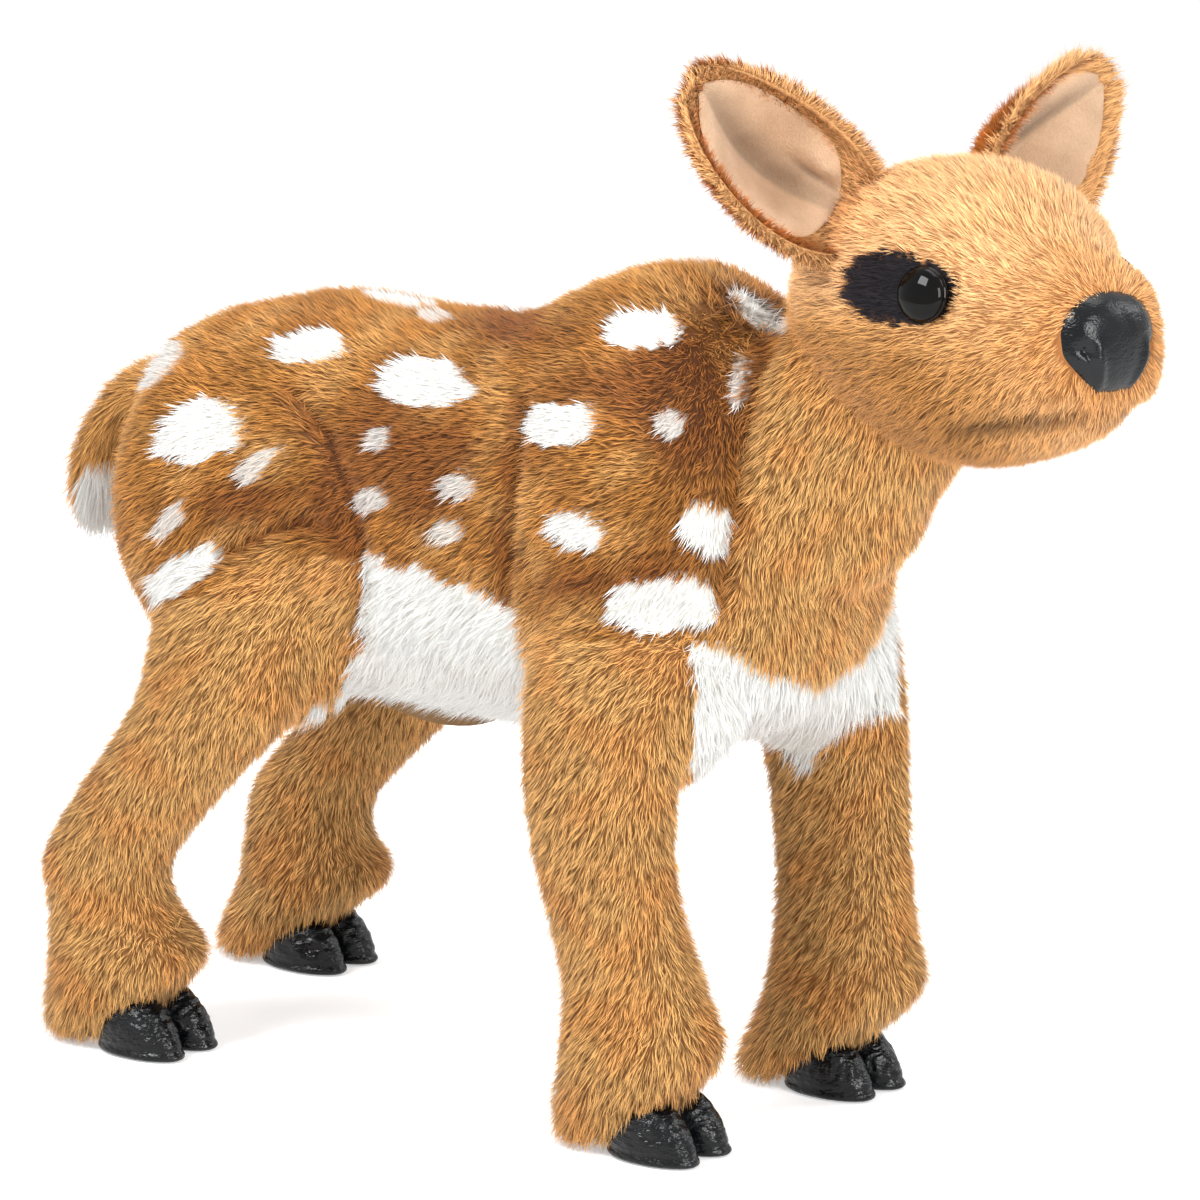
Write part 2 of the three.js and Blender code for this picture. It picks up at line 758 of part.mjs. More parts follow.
// A leg on the left side, from its half ball down to the foot
function legShape(rows, stance, centre, radius, inset) {
  const height = rows[0][0];
  const rings = smoothRows(rows, legRings).map(([z, x, halfLength, halfWidth, inner]) => {
    const low = 1 - z / height;
    const shift = stance.stride * low + stance.bow * Math.sin(Math.PI * low);
    const y = hipFace + inner + halfWidth + stance.spread * low;
    const at = new THREE.Vector3(x + shift, y, Math.max(z, rows.at(-1)[0] + inset));
    return ovalRing(legSides, legFullness, halfLength - inset, halfWidth - inset, halfWidth - inset, (a, b) =>
      new THREE.Vector3(at.x + a, at.y + b, at.z),
    );
  });
  const torsoSide = boxBetween([-across, -across, legInnerStart], [across, hipFace, across]);
  return skinRings(rings).add(legTop(centre, radius, inset)).subtract(torsoSide);
}

// Two toes joined by a bridge, flat on the ground
function hoofShape(rows, stance) {
  const [, footX, , halfWidth, inner] = rows.at(-2);
  const x = footX + stance.stride + hoofForward;
  const y = hipFace + inner + halfWidth + stance.spread;
  const toe = (offset) => {
    const rings = toeStations.map((s) => {
      const shorter = 1 - toeShortening * Math.pow(s, toeShorteningPower);
      const round = s === 0 ? toeSoleShare : 1;
      const halfLength = toeHalfLength * shorter * round;
      const half = toeHalfWidth * (1 - toeNarrowing * Math.pow(s, 2)) * round;
      const back = toeLeanBack * s;
      return ovalRing(toeSides, toeFullness, halfLength, half, half, (a, b) =>
        new THREE.Vector3(x - back + a, y + offset + b, toeHeight * s),
      );
    });
    return skinRings(rings);
  };
  const bridge = boxBetween(
    [x - toeHalfLength * bridgeRearShare, y - toeSpacing / 2, bridgeUnderside],
    [x + bridgeFront, y + toeSpacing / 2, toeBridge],
  );
  return toe(-toeSpacing / 2).add(toe(toeSpacing / 2)).add(bridge);
}

// The room that a foot leaves for its hoof
function hoofRoomShape(rows, stance) {
  const [, footX, , halfWidth, inner] = rows.at(-2);
  const x = footX + stance.stride + hoofForward;
  const y = hipFace + inner + halfWidth + stance.spread;
  const halfLength = toeHalfLength + hoofRoomLength;
  const halfRoom = toeSpacing / 2 + toeHalfWidth + hoofRoomWidth;
  const place = (z) => (a, b) => new THREE.Vector3(x + a, y + b, z);
  const rings = [-swingGap, toeHeight + seamGap].map((z) =>
    ovalRing(hoofRoomSides, hoofRoomFullness, halfLength, halfRoom, halfRoom, place(z)),
  );
  return skinRings(rings);
}

const legs = [
  { name: "front_right", rows: frontRows, centre: frontShoulder, radius: frontShoulderRadius, side: -1 },
  { name: "front_left", rows: frontRows, centre: frontShoulder, radius: frontShoulderRadius, side: 1 },
  { name: "rear_right", rows: rearRows, centre: rearHip, radius: rearHipRadius, side: -1 },
  { name: "rear_left", rows: rearRows, centre: rearHip, radius: rearHipRadius, side: 1 },
];

// What a leg keeps clear of the torso as it swings
function legClearance(leg) {
  const radius = leg.radius + swingGap;
  const swing = radians(legSwing);
  const drop = legClearanceDrop;
  const spread = radius + drop * Math.tan(swing);
  const outline = [
    ...arcPoints(leg.centre, radius, 0, Math.PI, 10),
    [leg.centre.x - spread, leg.centre.y - drop],
    [leg.centre.x + spread, leg.centre.y - drop],
  ];
  const outside = boxBetween([-across, hipFace - seamGap, -across], [across, across, across]);
  const room = prismAcross(outline, across).intersect(outside);
  return leg.side > 0 ? room : mirrored(room);
}

// Points on an arc in the XZ plane, from one angle to another
function arcPoints(centre, radius, from, to, steps) {
  return Array.from({ length: steps + 1 }, (_, i) => {
    const angle = from + ((to - from) * i) / steps;
    return [centre.x + radius * Math.cos(angle), centre.y + radius * Math.sin(angle)];
  });
}

// Assembly

const fawn = new THREE.Group();
fawn.position.copy(standingCentre).negate();
const headGroup = new THREE.Group();
headGroup.position.copy(headCentre);
headGroup.quaternion.copy(headTurn);
fawn.add(headGroup);

// Adds a named mesh made from a solid to a group
function addPiece(name, solid, material, group = fawn) {
  const { vertProperties, triVerts, numProp } = solid.getMesh();
  const geometry = new THREE.BufferGeometry();
  const place = new Float32Array((vertProperties.length / numProp) * 3);
  for (let i = 0; i < place.length / 3; i++) {
    place.set(vertProperties.subarray(i * numProp, i * numProp + 3), i * 3);
  }
  geometry.setAttribute("position", new THREE.BufferAttribute(place, 3));
  geometry.setIndex(new THREE.BufferAttribute(triVerts, 1));
  geometry.computeVertexNormals();
  const mesh = new THREE.Mesh(geometry, material);
  mesh.name = name;
  group.add(mesh);
}

function addTorso() {
  const torso = (inset) => bodyAlongX(torsoRows, torsoRings, torsoSides, torsoFullness, inset);
  const passage = (grow) => tubeAlong(passageRows, passageRings, passageSides, grow, passagePast);
  const legRoom = legs.map(legClearance).reduce((a, b) => a.add(b));
  const tailRoom = swept(tailShape(swingGap), tailJoint, zAxis, -tailWag, tailWag, 2);
  const room = legRoom.add(neckRoomInTorso).add(tailRoom);
  const coat = torso(0).subtract(torso(coatThickness)).subtract(room);
  const hemRoom = passage(hemWidth + seamGap);
  const far = across;
  const rump = boxBetween([-far, -far, -far], [rumpSeamX, far, rumpSeamHeight]);
  const belly = boxBetween([rumpSeamX + seamGap, -far, -far], [chestSeamX, far, bellySeamHeight]);
  const chest = boxBetween([chestSeamX + seamGap, -far, -far], [far, far, chestSeamHeight]);
  const breast = boxBetween([breastSeamX, -far, chestSeamHeight + seamGap], [far, far, far]);
  const grown = [
    boxBetween([-far, -far, -far], [rumpSeamX + seamGap, far, rumpSeamHeight + seamGap]),
    boxBetween([rumpSeamX, -far, -far], [chestSeamX + seamGap, far, bellySeamHeight + seamGap]),
    boxBetween([chestSeamX, -far, -far], [far, far, chestSeamHeight + seamGap]),
    boxBetween([breastSeamX - seamGap, -far, chestSeamHeight], [far, far, far]),
  ].reduce((a, b) => a.add(b));
  addPiece("spotted_coat", largest(coat.subtract(grown)), materials.brownPlush);
  addPiece("belly_panel", largest(coat.intersect(belly).subtract(hemRoom)), materials.whitePlush);
  addPiece("chest_panel", largest(coat.intersect(chest)), materials.whitePlush);
  addPiece("breast_panel", largest(coat.intersect(breast)), materials.tanPlush);
  addPiece("rump_patch", largest(coat.intersect(rump)), materials.whitePlush);
  const core = torso(coatThickness + seamGap).subtract(room).subtract(passage(seamGap));
  addPiece("torso_stuffing", largest(core), materials.stuffing);
  const inside = torso(coatThickness + seamGap).subtract(neckRoomInTorso);
  const sleeve = passage(0).subtract(passage(-liningThickness)).intersect(inside);
  addPiece("hand_sleeve", largest(sleeve), materials.lining);
  const hemBand = torso(-hemDrop).subtract(torso(coatThickness)).intersect(passage(hemWidth));
  const hemHalf = boxBetween([-far, -far, -far], [far, far, passageRows[2][1]]);
  addPiece("opening_hem", largest(hemBand.subtract(passage(-liningThickness)).intersect(hemHalf)), materials.lining);
}

// The biggest of a solid's separate bodies
function largest(solid) {
  return solid.decompose().reduce((a, b) => (a.volume() > b.volume() ? a : b));
}

function tailShape(grow) {
  const stations = smoothRows(tailRows, tailRings);
  return skinRings(
    stations.map(([x, z, w, h], i) => {
      const before = stations[Math.max(0, i - 1)];
      const after = stations[Math.min(stations.length - 1, i + 1)];
      const run = new THREE.Vector3(after[0] - before[0], 0, after[1] - before[1]).normalize();
      const up = new THREE.Vector3(run.z, 0, -run.x);
      return ovalRing(tailSides, tailFullness, w + grow, h + grow, h + grow, (y, v) =>
        new THREE.Vector3(x, y, z).addScaledVector(up, v),
      );
    }),
  );
}

function addTail() {
  const tail = tailShape(0);
  const seam = (shift) =>
    prismAcross(
      [
        [tailRows[0][0] + tailSeamLead, tailRows[0][1] - shift],
        ...tailRows.slice(1).map(([x, z]) => [x, z - shift]),
        [tailRows.at(-1)[0], tailSeamFloor],
        [tailRows[0][0] + tailSeamLead, tailSeamFloor],
      ],
      across,
    );
  addPiece("tail_top", largest(tail.subtract(seam(0))), materials.brownPlush);
  addPiece("tail_underside", largest(tail.intersect(seam(seamGap))), materials.whitePlush);
}

function addNeck() {
  const bore = (grow) => neckBore(neckPassageRadius + grow, neckBaseRadius + borePast);
  const front = boxBetween([neckBase.x + tongueFront, -across, -across], [across, across, across]);
  const outer = neckSolid(0, neckSides).add(turningTongue(0).intersect(front)).add(nodPivot(0));
  const inner = neckSolid(coatThickness, neckSides);
  const core = neckSolid(coatThickness + seamGap, neckSides);
  addPiece("neck_coat", largest(outer.subtract(inner).subtract(bore(seamGap))), materials.tanPlush);
  addPiece("neck_stuffing", largest(core.subtract(bore(seamGap))), materials.stuffing);
  const sleeve = bore(0).subtract(bore(-liningThickness)).intersect(core);
  addPiece("neck_sleeve", largest(sleeve), materials.lining);
}

function addHead() {
  const nose = noseSolid(0);
  const noseRoom = noseSolid(seamGap);
  const pocketRoom = fingerPocket(seamGap, 2 * seamGap).add(thumbPocket(seamGap, 2 * seamGap));
  const earRoom = [1, -1]
    .map((side) => {
      const fold = earFold + earFoldSpare;
      const room = swept(earClearance(), earRoot, earAxis, -fold, fold, earFoldSteps).add(earRoll(seamGap));
      return side > 0 ? room : mirrored(room);
    })
    .reduce((a, b) => a.add(b));
  const holes = (radius, depth) => eyeHole(1, radius, depth).add(eyeHole(-1, radius, depth));
  const coat = headOuter
    .subtract(headInner)
    .subtract(neckInHead)
    .subtract(lipCut)
    .subtract(noseRoom)
    .subtract(earRoom)
    .subtract(holes(eyeRadius + seamGap, eyeStemLength + seamGap));
  addPiece("head_coat", largest(coat), materials.paleTanPlush, headGroup);
  const stuffing = headCore
    .subtract(neckInHead)
    .subtract(throatCut)
    .subtract(noseRoom)
    .subtract(earRoom)
    .subtract(pocketRoom)
    .subtract(holes(eyeRadius + seamGap, eyeStemLength + seamGap));
  addPiece("head_stuffing", largest(stuffing), materials.stuffing, headGroup);
  const pocket = fingerPocket(0, 0).subtract(fingerPocket(-liningThickness, -liningThickness));
  addPiece("finger_pocket", largest(pocket.subtract(neckInHead)), materials.lining, headGroup);
  const palateShape = headShape(palateInset);
  const band = (low, high) => mouthWedge(high, palateRearAngle).subtract(mouthWedge(low, palateRearAngle));
  const forward = (x) => boxBetween([x, -across, -across], [nosePlace.x, across, across]);
  const upper = palateShape.intersect(band(seamGap, seamGap + palateThickness)).intersect(forward(jawPivot.x));
  addPiece("upper_palate", largest(upper), materials.mouthCloth, headGroup);
  addPiece("nose", nose, materials.blackVinyl, headGroup);
  for (const [side, label] of [
    [-1, "right"],
    [1, "left"],
  ]) {
    addPiece("eye_" + label, eyeDome(side), materials.eyeResin, headGroup);
    addPiece("eye_washer_" + label, eyeWasher(side), materials.washerPlastic, headGroup);
    const turn = (solid) => (side > 0 ? solid : mirrored(solid));
    addPiece("ear_back_" + label, turn(earBack()), materials.paleTanPlush, headGroup);
    addPiece("ear_lining_" + label, turn(earLining()), materials.velvet, headGroup);
  }
  const lip = jawSpace(seamGap);
  const jawCoat = headOuter.subtract(headInner).intersect(lip).subtract(noseRoom);
  addPiece("jaw_coat", largest(jawCoat), materials.paleTanPlush, headGroup);
  const jawCore = headCore.intersect(jawSpace(2 * seamGap + palateThickness)).subtract(noseRoom);
  const jawPadding = largest(jawCore.subtract(thumbPocket(seamGap, 2 * seamGap)));
  addPiece("jaw_stuffing", jawPadding, materials.stuffing, headGroup);
  const jawSide = boxBetween([jawPivot.x + 2 * seamGap, -across, -across], [across, across, across]);
  const thumbHollow = thumbPocket(-thumbLiningThickness, -thumbLiningThickness);
  const thumb = thumbPocket(0, 0).subtract(thumbHollow).intersect(jawSide);
  addPiece("thumb_pocket", largest(thumb), materials.lining, headGroup);
  const lower = palateShape
    .intersect(band(-seamGap - palateThickness, -seamGap))
    .intersect(forward(jawPivot.x + palateSetBack));
  addPiece("lower_palate", largest(lower), materials.mouthCloth, headGroup);
}

function addLeg(leg) {
  const stance = legStance[leg.name];
  const shape = (inset) => legShape(leg.rows, stance, leg.centre, leg.radius, inset);
  const turn = (solid) => (leg.side > 0 ? solid : mirrored(solid));
  const hoofRoom = hoofRoomShape(leg.rows, stance);
  const low = leg.rows.at(-1)[0];
  const aboveGround = boxBetween([-across, -across, low], [across, across, across]);
  const coat = shape(0).subtract(shape(coatThickness)).subtract(hoofRoom).intersect(aboveGround);
  const core = shape(coatThickness + seamGap).subtract(hoofRoom);
  addPiece("leg_coat_" + leg.name, turn(largest(coat)), materials.tanPlush);
  addPiece("leg_stuffing_" + leg.name, turn(largest(core)), materials.stuffing);
  addPiece("hoof_" + leg.name, turn(hoofShape(leg.rows, stance)), materials.blackVinyl);
}

addTorso();
addTail();
addNeck();
addHead();
legs.forEach(addLeg);

export default fawn;
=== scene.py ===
# %% [markdown]
# # A standing fawn hand puppet
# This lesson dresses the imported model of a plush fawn. The toy is sewn from pile fabric and stuffed, with vinyl
# hooves and nose, glossy eyes and a cloth passage for a hand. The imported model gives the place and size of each
# part and how it moves. Everything made here is worked out in millimetres in the toy's own sewing frame, with x
# counted from the middle of the belly, y from the seam along the back and z from the ground, and is turned into
# metres in the last step of each piece.

# %% Load the frame
import bpy
import numpy as np
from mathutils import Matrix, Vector


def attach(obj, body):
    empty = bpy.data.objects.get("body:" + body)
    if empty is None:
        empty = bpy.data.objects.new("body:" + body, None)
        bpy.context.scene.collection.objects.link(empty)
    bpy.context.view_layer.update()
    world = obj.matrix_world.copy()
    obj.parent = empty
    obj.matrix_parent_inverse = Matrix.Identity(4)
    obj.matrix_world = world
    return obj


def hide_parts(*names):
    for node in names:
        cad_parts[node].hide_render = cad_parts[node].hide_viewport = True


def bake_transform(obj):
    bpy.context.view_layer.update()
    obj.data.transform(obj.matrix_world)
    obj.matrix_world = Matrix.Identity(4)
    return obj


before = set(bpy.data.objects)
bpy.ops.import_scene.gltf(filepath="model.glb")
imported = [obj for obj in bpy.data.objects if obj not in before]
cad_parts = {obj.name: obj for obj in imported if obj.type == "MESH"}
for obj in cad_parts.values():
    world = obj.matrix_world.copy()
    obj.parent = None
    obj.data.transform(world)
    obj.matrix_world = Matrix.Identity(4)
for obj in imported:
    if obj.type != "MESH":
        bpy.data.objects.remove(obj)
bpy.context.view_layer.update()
print("parts in the packed model:", len(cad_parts))

# %% [markdown]
# ## The camera
# The picture was taken with a long lens from the fawn's right front, a little above it. The camera is set by the
# point it looks at, its turn round the toy, its height and the width of what it sees. A function that gives the
# place of a point in the picture is kept beside it, because the seams and spots of the coat are laid out on the
# picture and then followed on the cloth.

# %% Camera
STANDING_CENTRE = np.array([35.0, 13.0, 0.0])
CAMERA_TARGET = np.array([37.5, 0.0, 157.1])
CAMERA_TURN = np.radians(36.9)
CAMERA_RISE = np.radians(13.2)
CAMERA_DISTANCE = 2800.0
PICTURE_SIDE = 1200
PIXELS_PER_MM = 3.2
SENSOR = 36.0


def metres(points):
    """Sewing frame in millimetres to the row frame in metres: the standing centre is taken off."""
    return (np.asarray(points, float) - STANDING_CENTRE) / 1000


towards_camera = np.array([
    np.sin(CAMERA_TURN) * np.cos(CAMERA_RISE),
    -np.cos(CAMERA_TURN) * np.cos(CAMERA_RISE),
    np.sin(CAMERA_RISE),
])
picture_right = np.array([np.cos(CAMERA_TURN), np.sin(CAMERA_TURN), 0.0])
picture_up = np.cross(towards_camera, picture_right)


def in_picture(points):
    """Perspective: the offset across and up from the axis, over the depth, times the picture's scale."""
    off = points - CAMERA_TARGET
    depth = CAMERA_DISTANCE - off @ towards_camera
    scale = PIXELS_PER_MM * CAMERA_DISTANCE / depth
    half = PICTURE_SIDE / 2
    return np.stack([half + off @ picture_right * scale, half - off @ picture_up * scale], -1)


camera_data = bpy.data.cameras.new("camera")
camera = bpy.data.objects.new("camera", camera_data)
bpy.context.scene.collection.objects.link(camera)
camera.location = metres(CAMERA_TARGET + towards_camera * CAMERA_DISTANCE)
camera.rotation_euler = Vector(towards_camera).to_track_quat("Z", "Y").to_euler()
camera_data.sensor_width = SENSOR
camera_data.lens = SENSOR * CAMERA_DISTANCE / (PICTURE_SIDE / PIXELS_PER_MM)
camera_data.clip_end = 50
bpy.context.scene.camera = camera
bpy.context.scene.view_settings.view_transform = "Standard"
print("lens, mm:", round(camera_data.lens, 1))

# %% [markdown]
# ## Surfaces from numbers
# A sewn and stuffed form swells and tapers along a line, so its skin is a row of rings. Each ring is a
# superellipse, an oval whose fullness can be set, and the rows of sizes are joined by a smooth curve. The rings are
# one array of points, and the faces between them another, so a piece is made without a loop over its points.

# %% Rows, rings and grids
def smooth_rows(rows, count):
    """Catmull-Rom through the rows: each value is a cubic of the share between its two rows and their neighbours."""
    rows = np.asarray(rows, float)
    t = np.linspace(0, len(rows) - 1, count)
    k = np.minimum(t.astype(int), len(rows) - 2)
    f = (t - k)[:, None]
    a, b, c, d = (rows[np.clip(k + j, 0, len(rows) - 1)] for j in (-1, 0, 1, 2))
    return b + 0.5 * f * (c - a + f * (2 * a - 5 * b + 4 * c - d + f * (3 * (b - c) + d - a)))


def whole_turn(sides):
    """Equal angles round a full turn: 2πk over the number of sides."""
    return 2 * np.pi * np.arange(sides) / sides


def oval(sides, fullness):
    """Unit superellipse: cosine and sine, each raised to 2 over the fullness with its sign kept."""
    c, s = np.cos(whole_turn(sides)), np.sin(whole_turn(sides))
    return np.sign(c) * abs(c) ** (2 / fullness), np.sign(s) * abs(s) ** (2 / fullness)


def around(rings, sides):
    """Quads between rings that close on themselves."""
    i, j = np.meshgrid(np.arange(rings - 1), np.arange(sides), indexing="ij")
    a, b = i * sides + j, i * sides + (j + 1) % sides
    return np.stack([a, b, b + sides, a + sides], -1).reshape(-1, 4)


def sheet_faces(rows, columns):
    """Quads of an open grid."""
    i, j = np.meshgrid(np.arange(rows - 1), np.arange(columns - 1), indexing="ij")
    a = i * columns + j
    return np.stack([a, a + 1, a + columns + 1, a + columns], -1).reshape(-1, 4)


def closed_rings(rings):
    """The rings' points with a pole at the middle of each end, and the quads and fans that close them."""
    count, sides, _ = rings.shape
    points = np.concatenate([rings.reshape(-1, 3), rings[:1].mean(1), rings[-1:].mean(1)])
    j = np.arange(sides)
    after = (j + 1) % sides
    first, last = count * sides, (count - 1) * sides
    start = np.stack([np.full(sides, first), after, j], -1)
    end = np.stack([np.full(sides, first + 1), last + j, last + after], -1)
    return points, facing_out(points, [around(count, sides), start, end])


def three_sided(faces):
    """Triangles of a list of quad and triangle arrays."""
    parts = [f[:, :3] for f in faces] + [f[:, [0, 2, 3]] for f in faces if f.shape[1] == 4]
    return np.concatenate(parts)


def facing_out(points, faces):
    """Turns the faces round if the volume they enclose, a sum of a·(b×c), is negative."""
    a, b, c = points[three_sided(faces)].transpose(1, 0, 2)
    volume = (a * np.cross(b, c)).sum()
    return faces if volume > 0 else [f[:, ::-1] for f in faces]


def form_at(rows, x):
    """Half width, top and bottom of a form of rows at each x, read off its smooth curve."""
    sizes = smooth_rows(rows, 200)
    return [np.interp(x, sizes[:, 0], sizes[:, k]) for k in (1, 2, 3)]


def unit(vectors):
    return vectors / np.maximum(np.linalg.norm(vectors, axis=-1, keepdims=True), 1e-9)


def point_normals(points, faces):
    """The sum of the area vectors of the triangles round each point, made one long."""
    tri = three_sided(faces)
    a, b, c = points[tri].transpose(1, 0, 2)
    area = np.cross(b - a, c - a)
    total = np.zeros_like(points)
    for corner in range(3):
        for axis in range(3):
            total[:, axis] += np.bincount(tri[:, corner], area[:, axis], len(points))
    return unit(total)


def waves(points, size, seed, count=9):
    """Smooth noise about -1 to 1: the mean of plane waves of random direction and phase, about size long."""
    rng = np.random.default_rng(seed)
    k = unit(rng.normal(size=(count, 3))) * rng.uniform(0.7, 1.6, (count, 1)) * 2 * np.pi / size
    return np.sin(points @ k.T + rng.uniform(0, 2 * np.pi, count)).sum(1) / np.sqrt(count)


def bump(distance, reach):
    """A bell curve: the exponential of minus the squared distance over the reach."""
    return np.exp(-((distance / reach) ** 2))


def step_between(value, low, high):
    """Smooth step: 3t² − 2t³ of the share between low and high."""
    t = np.clip((value - low) / (high - low), 0, 1)
    return t * t * (3 - 2 * t)


def new_piece(name, points, faces, material=None, normals=None, values=None):
    """A mesh object at the origin from points in millimetres, face arrays, point normals and named point values."""
    mesh = bpy.data.meshes.new(name)
    mesh.vertices.add(len(points))
    mesh.vertices.foreach_set("co", metres(points).ravel().astype(np.float32))
    corners = np.concatenate([f.ravel() for f in faces]).astype(np.int32)
    sizes = np.concatenate([np.full(len(f), f.shape[1]) for f in faces])
    starts = np.concatenate([[0], np.cumsum(sizes)[:-1]]).astype(np.int32)
    mesh.loops.add(len(corners))
    mesh.loops.foreach_set("vertex_index", corners)
    mesh.polygons.add(len(sizes))
    mesh.polygons.foreach_set("loop_start", starts)
    mesh.update(calc_edges=True)
    mesh.validate()
    mesh.shade_smooth()
    for key, value in (values or {}).items():
        layer = mesh.attributes.new(key, "FLOAT", "POINT")
        layer.data.foreach_set("value", np.broadcast_to(value, len(points)).astype(np.float32))
    if normals is not None:
        mesh.normals_split_custom_set_from_vertices(normals)
    piece = bpy.data.objects.new(name, mesh)
    bpy.context.scene.collection.objects.link(piece)
    if material:
        mesh.materials.append(material)
    return piece


# %% [markdown]
# ## Shader maths in Python
# A finish is a small program of nodes. Writing it node by node hides the thought behind it, so one class wraps a
# socket and lets Python's own signs add the Math nodes. Colours go through Mix nodes, because a Math node would
# turn them grey.

# %% Node helpers
class Value:
    """A number socket: +, - and * with another socket or a number, on either side, add a Math node."""

    def __init__(self, finish, socket):
        self.finish, self.socket = finish, socket

    def _math(self, operation, *others):
        return self.finish.node("ShaderNodeMath", {"operation": operation}, dict(enumerate(others)))

    def __add__(self, other):
        return self._math("ADD", self, other)

    def __sub__(self, other):
        return self._math("SUBTRACT", self, other)

    def __rsub__(self, other):
        return self._math("SUBTRACT", other, self)

    def __mul__(self, other):
        return self._math("MULTIPLY", self, other)

    __radd__, __rmul__ = __add__, __mul__


class Finish:
    """A material or a world under construction, with one method that adds any node."""

    def __init__(self, name, library="materials", end="ShaderNodeOutputMaterial"):
        self.owner = getattr(bpy.data, library).new(name)
        self.owner.use_nodes = True
        self.tree = self.owner.node_tree
        self.tree.nodes.clear()
        self.output = self.tree.nodes.new(end)

    def node(self, kind, settings=None, inputs=None, out=0):
        """Adds a node: settings first, then the values or links of its sockets. Gives one of its outputs."""
        made = self.tree.nodes.new(kind)
        for key, value in (settings or {}).items():
            setattr(made, key, value)
        for key, value in (inputs or {}).items():
            if isinstance(value, Value):
                self.tree.links.new(value.socket, made.inputs[key])
            else:
                made.inputs[key].default_value = value
        return Value(self, made.outputs[out])

    def attribute(self, name):
        return self.node("ShaderNodeAttribute", {"attribute_name": name}, out="Fac")

    def noise(self, scale, detail=2.0, stretch=(1, 1, 1)):
        """Noise on Object coordinates; scale is in waves per metre."""
        place = self.node("ShaderNodeTexCoord", out="Object")
        moved = self.node("ShaderNodeMapping", {}, {"Vector": place, "Scale": stretch})
        return self.node("ShaderNodeTexNoise", {}, {"Vector": moved, "Scale": scale, "Detail": detail}, out="Fac")

    def between(self, value, low, high):
        """Map Range from low..high to 0..1, held at the ends and eased."""
        settings = {"interpolation_type": "SMOOTHSTEP", "clamp": True}
        return self.node("ShaderNodeMapRange", settings, {"Value": value, "From Min": low, "From Max": high})

    def mix(self, share, first, second):
        """Colour Mix of first and second by share."""
        made = self.tree.nodes.new("ShaderNodeMix")
        made.data_type = "RGBA"
        for socket, value in ((0, share), (6, first), (7, second)):
            if isinstance(value, Value):
                self.tree.links.new(value.socket, made.inputs[socket])
            else:
                made.inputs[socket].default_value = value
        return Value(self, made.outputs[2])

    def shaded(self, colour, factor):
        """Multiplies a colour by a grey factor with Vector Math."""
        return self.node("ShaderNodeVectorMath", {"operation": "SCALE"}, {0: colour, "Scale": factor})

    def bumped(self, height, distance):
        return self.node("ShaderNodeBump", {}, {"Height": height, "Distance": distance, "Strength": 1.0})

    def seen(self):
        """The maximum of three flags: 1 for camera, glossy and transmitted rays, and 0 for those that light."""
        ray = self.tree.nodes.new("ShaderNodeLightPath")
        sees = Value(self, ray.outputs["Is Camera Ray"])
        for kind in ("Is Glossy Ray", "Is Transmission Ray"):
            sees = self.node("ShaderNodeMath", {"operation": "MAXIMUM"}, {0: sees, 1: Value(self, ray.outputs[kind])})
        return sees

    def show(self, shader):
        """Links a shader to the output and gives the material or the world."""
        self.tree.links.new(shader.socket, self.output.inputs["Surface"])
        return self.owner

    def surface(self, **sockets):
        """The Principled shader, with a link or a plain value on each socket named, and gives the material."""
        named = {key.replace("_", " "): value for key, value in sockets.items()}
        return self.show(self.node("ShaderNodeBsdfPrincipled", {}, named))


def colour(red, green, blue):
    """A screen colour from 0 to 255 as the linear light that Blender computes with."""
    c = np.array([red, green, blue]) / 255
    return (*np.where(c <= 0.04045, c / 12.92, ((c + 0.055) / 1.055) ** 2.4), 1.0)


def two_tones(name, mottle, tones, roughness, weave=0.0, relief=0.0, stretch=(1, 1, 1)):
    """A plain finish: two tones mixed by noise, and a bump of finer noise where there is a weave."""
    finish = Finish(name)
    tone = finish.mix(finish.noise(mottle), *tones)
    bumps = {"Normal": finish.bumped(finish.noise(weave, 1.0, stretch), relief)} if weave else {}
    return finish.surface(Base_Color=tone, Roughness=roughness, **bumps)


# %% [markdown]
# ## Plush
# The coats are pile fabric: a knitted backing with thousands of fine hairs standing in it. Each hair is painted darker
# at the root, as the shade between the hairs, and lighter at the tip, as the light it catches; no two have quite the
# same colour, and the dye varies in soft patches.
# The same finish serves the backing and the hairs. It reads from each point how much of each cloth is there, how far
# along its hair the point lies, and how light that hair is. Brown is what is left.

# %% Plush finish
# Root and tip colours of each cloth: the darker root is painted shade between the hairs, the lighter tip painted light
BROWN = (colour(100, 56, 20), colour(208, 142, 70))
# Deep brown, which also carries painted shade in the coat's dips, along its creases and on the face
DEEP_BROWN_AND_SHADE = (colour(58, 30, 13), colour(152, 90, 42))
TAN = (colour(114, 68, 30), colour(237, 182, 112))
RUST = (colour(126, 70, 28), colour(238, 163, 90))
PALE = (colour(186, 120, 64), colour(249, 196, 140))
WHITE = (colour(240, 237, 229), colour(255, 255, 252))
BLACK = (colour(8, 7, 9), colour(34, 29, 34))
CLOTHS = {"deep": DEEP_BROWN_AND_SHADE, "tan": TAN, "rust": RUST, "pale": PALE, "white": WHITE, "black": BLACK}
# Factor of the darkest hair, and how much the lightest has over it
SHADE_RANGE, WHITE_SHADE_RANGE = (0.50, 0.86), (0.88, 0.20)


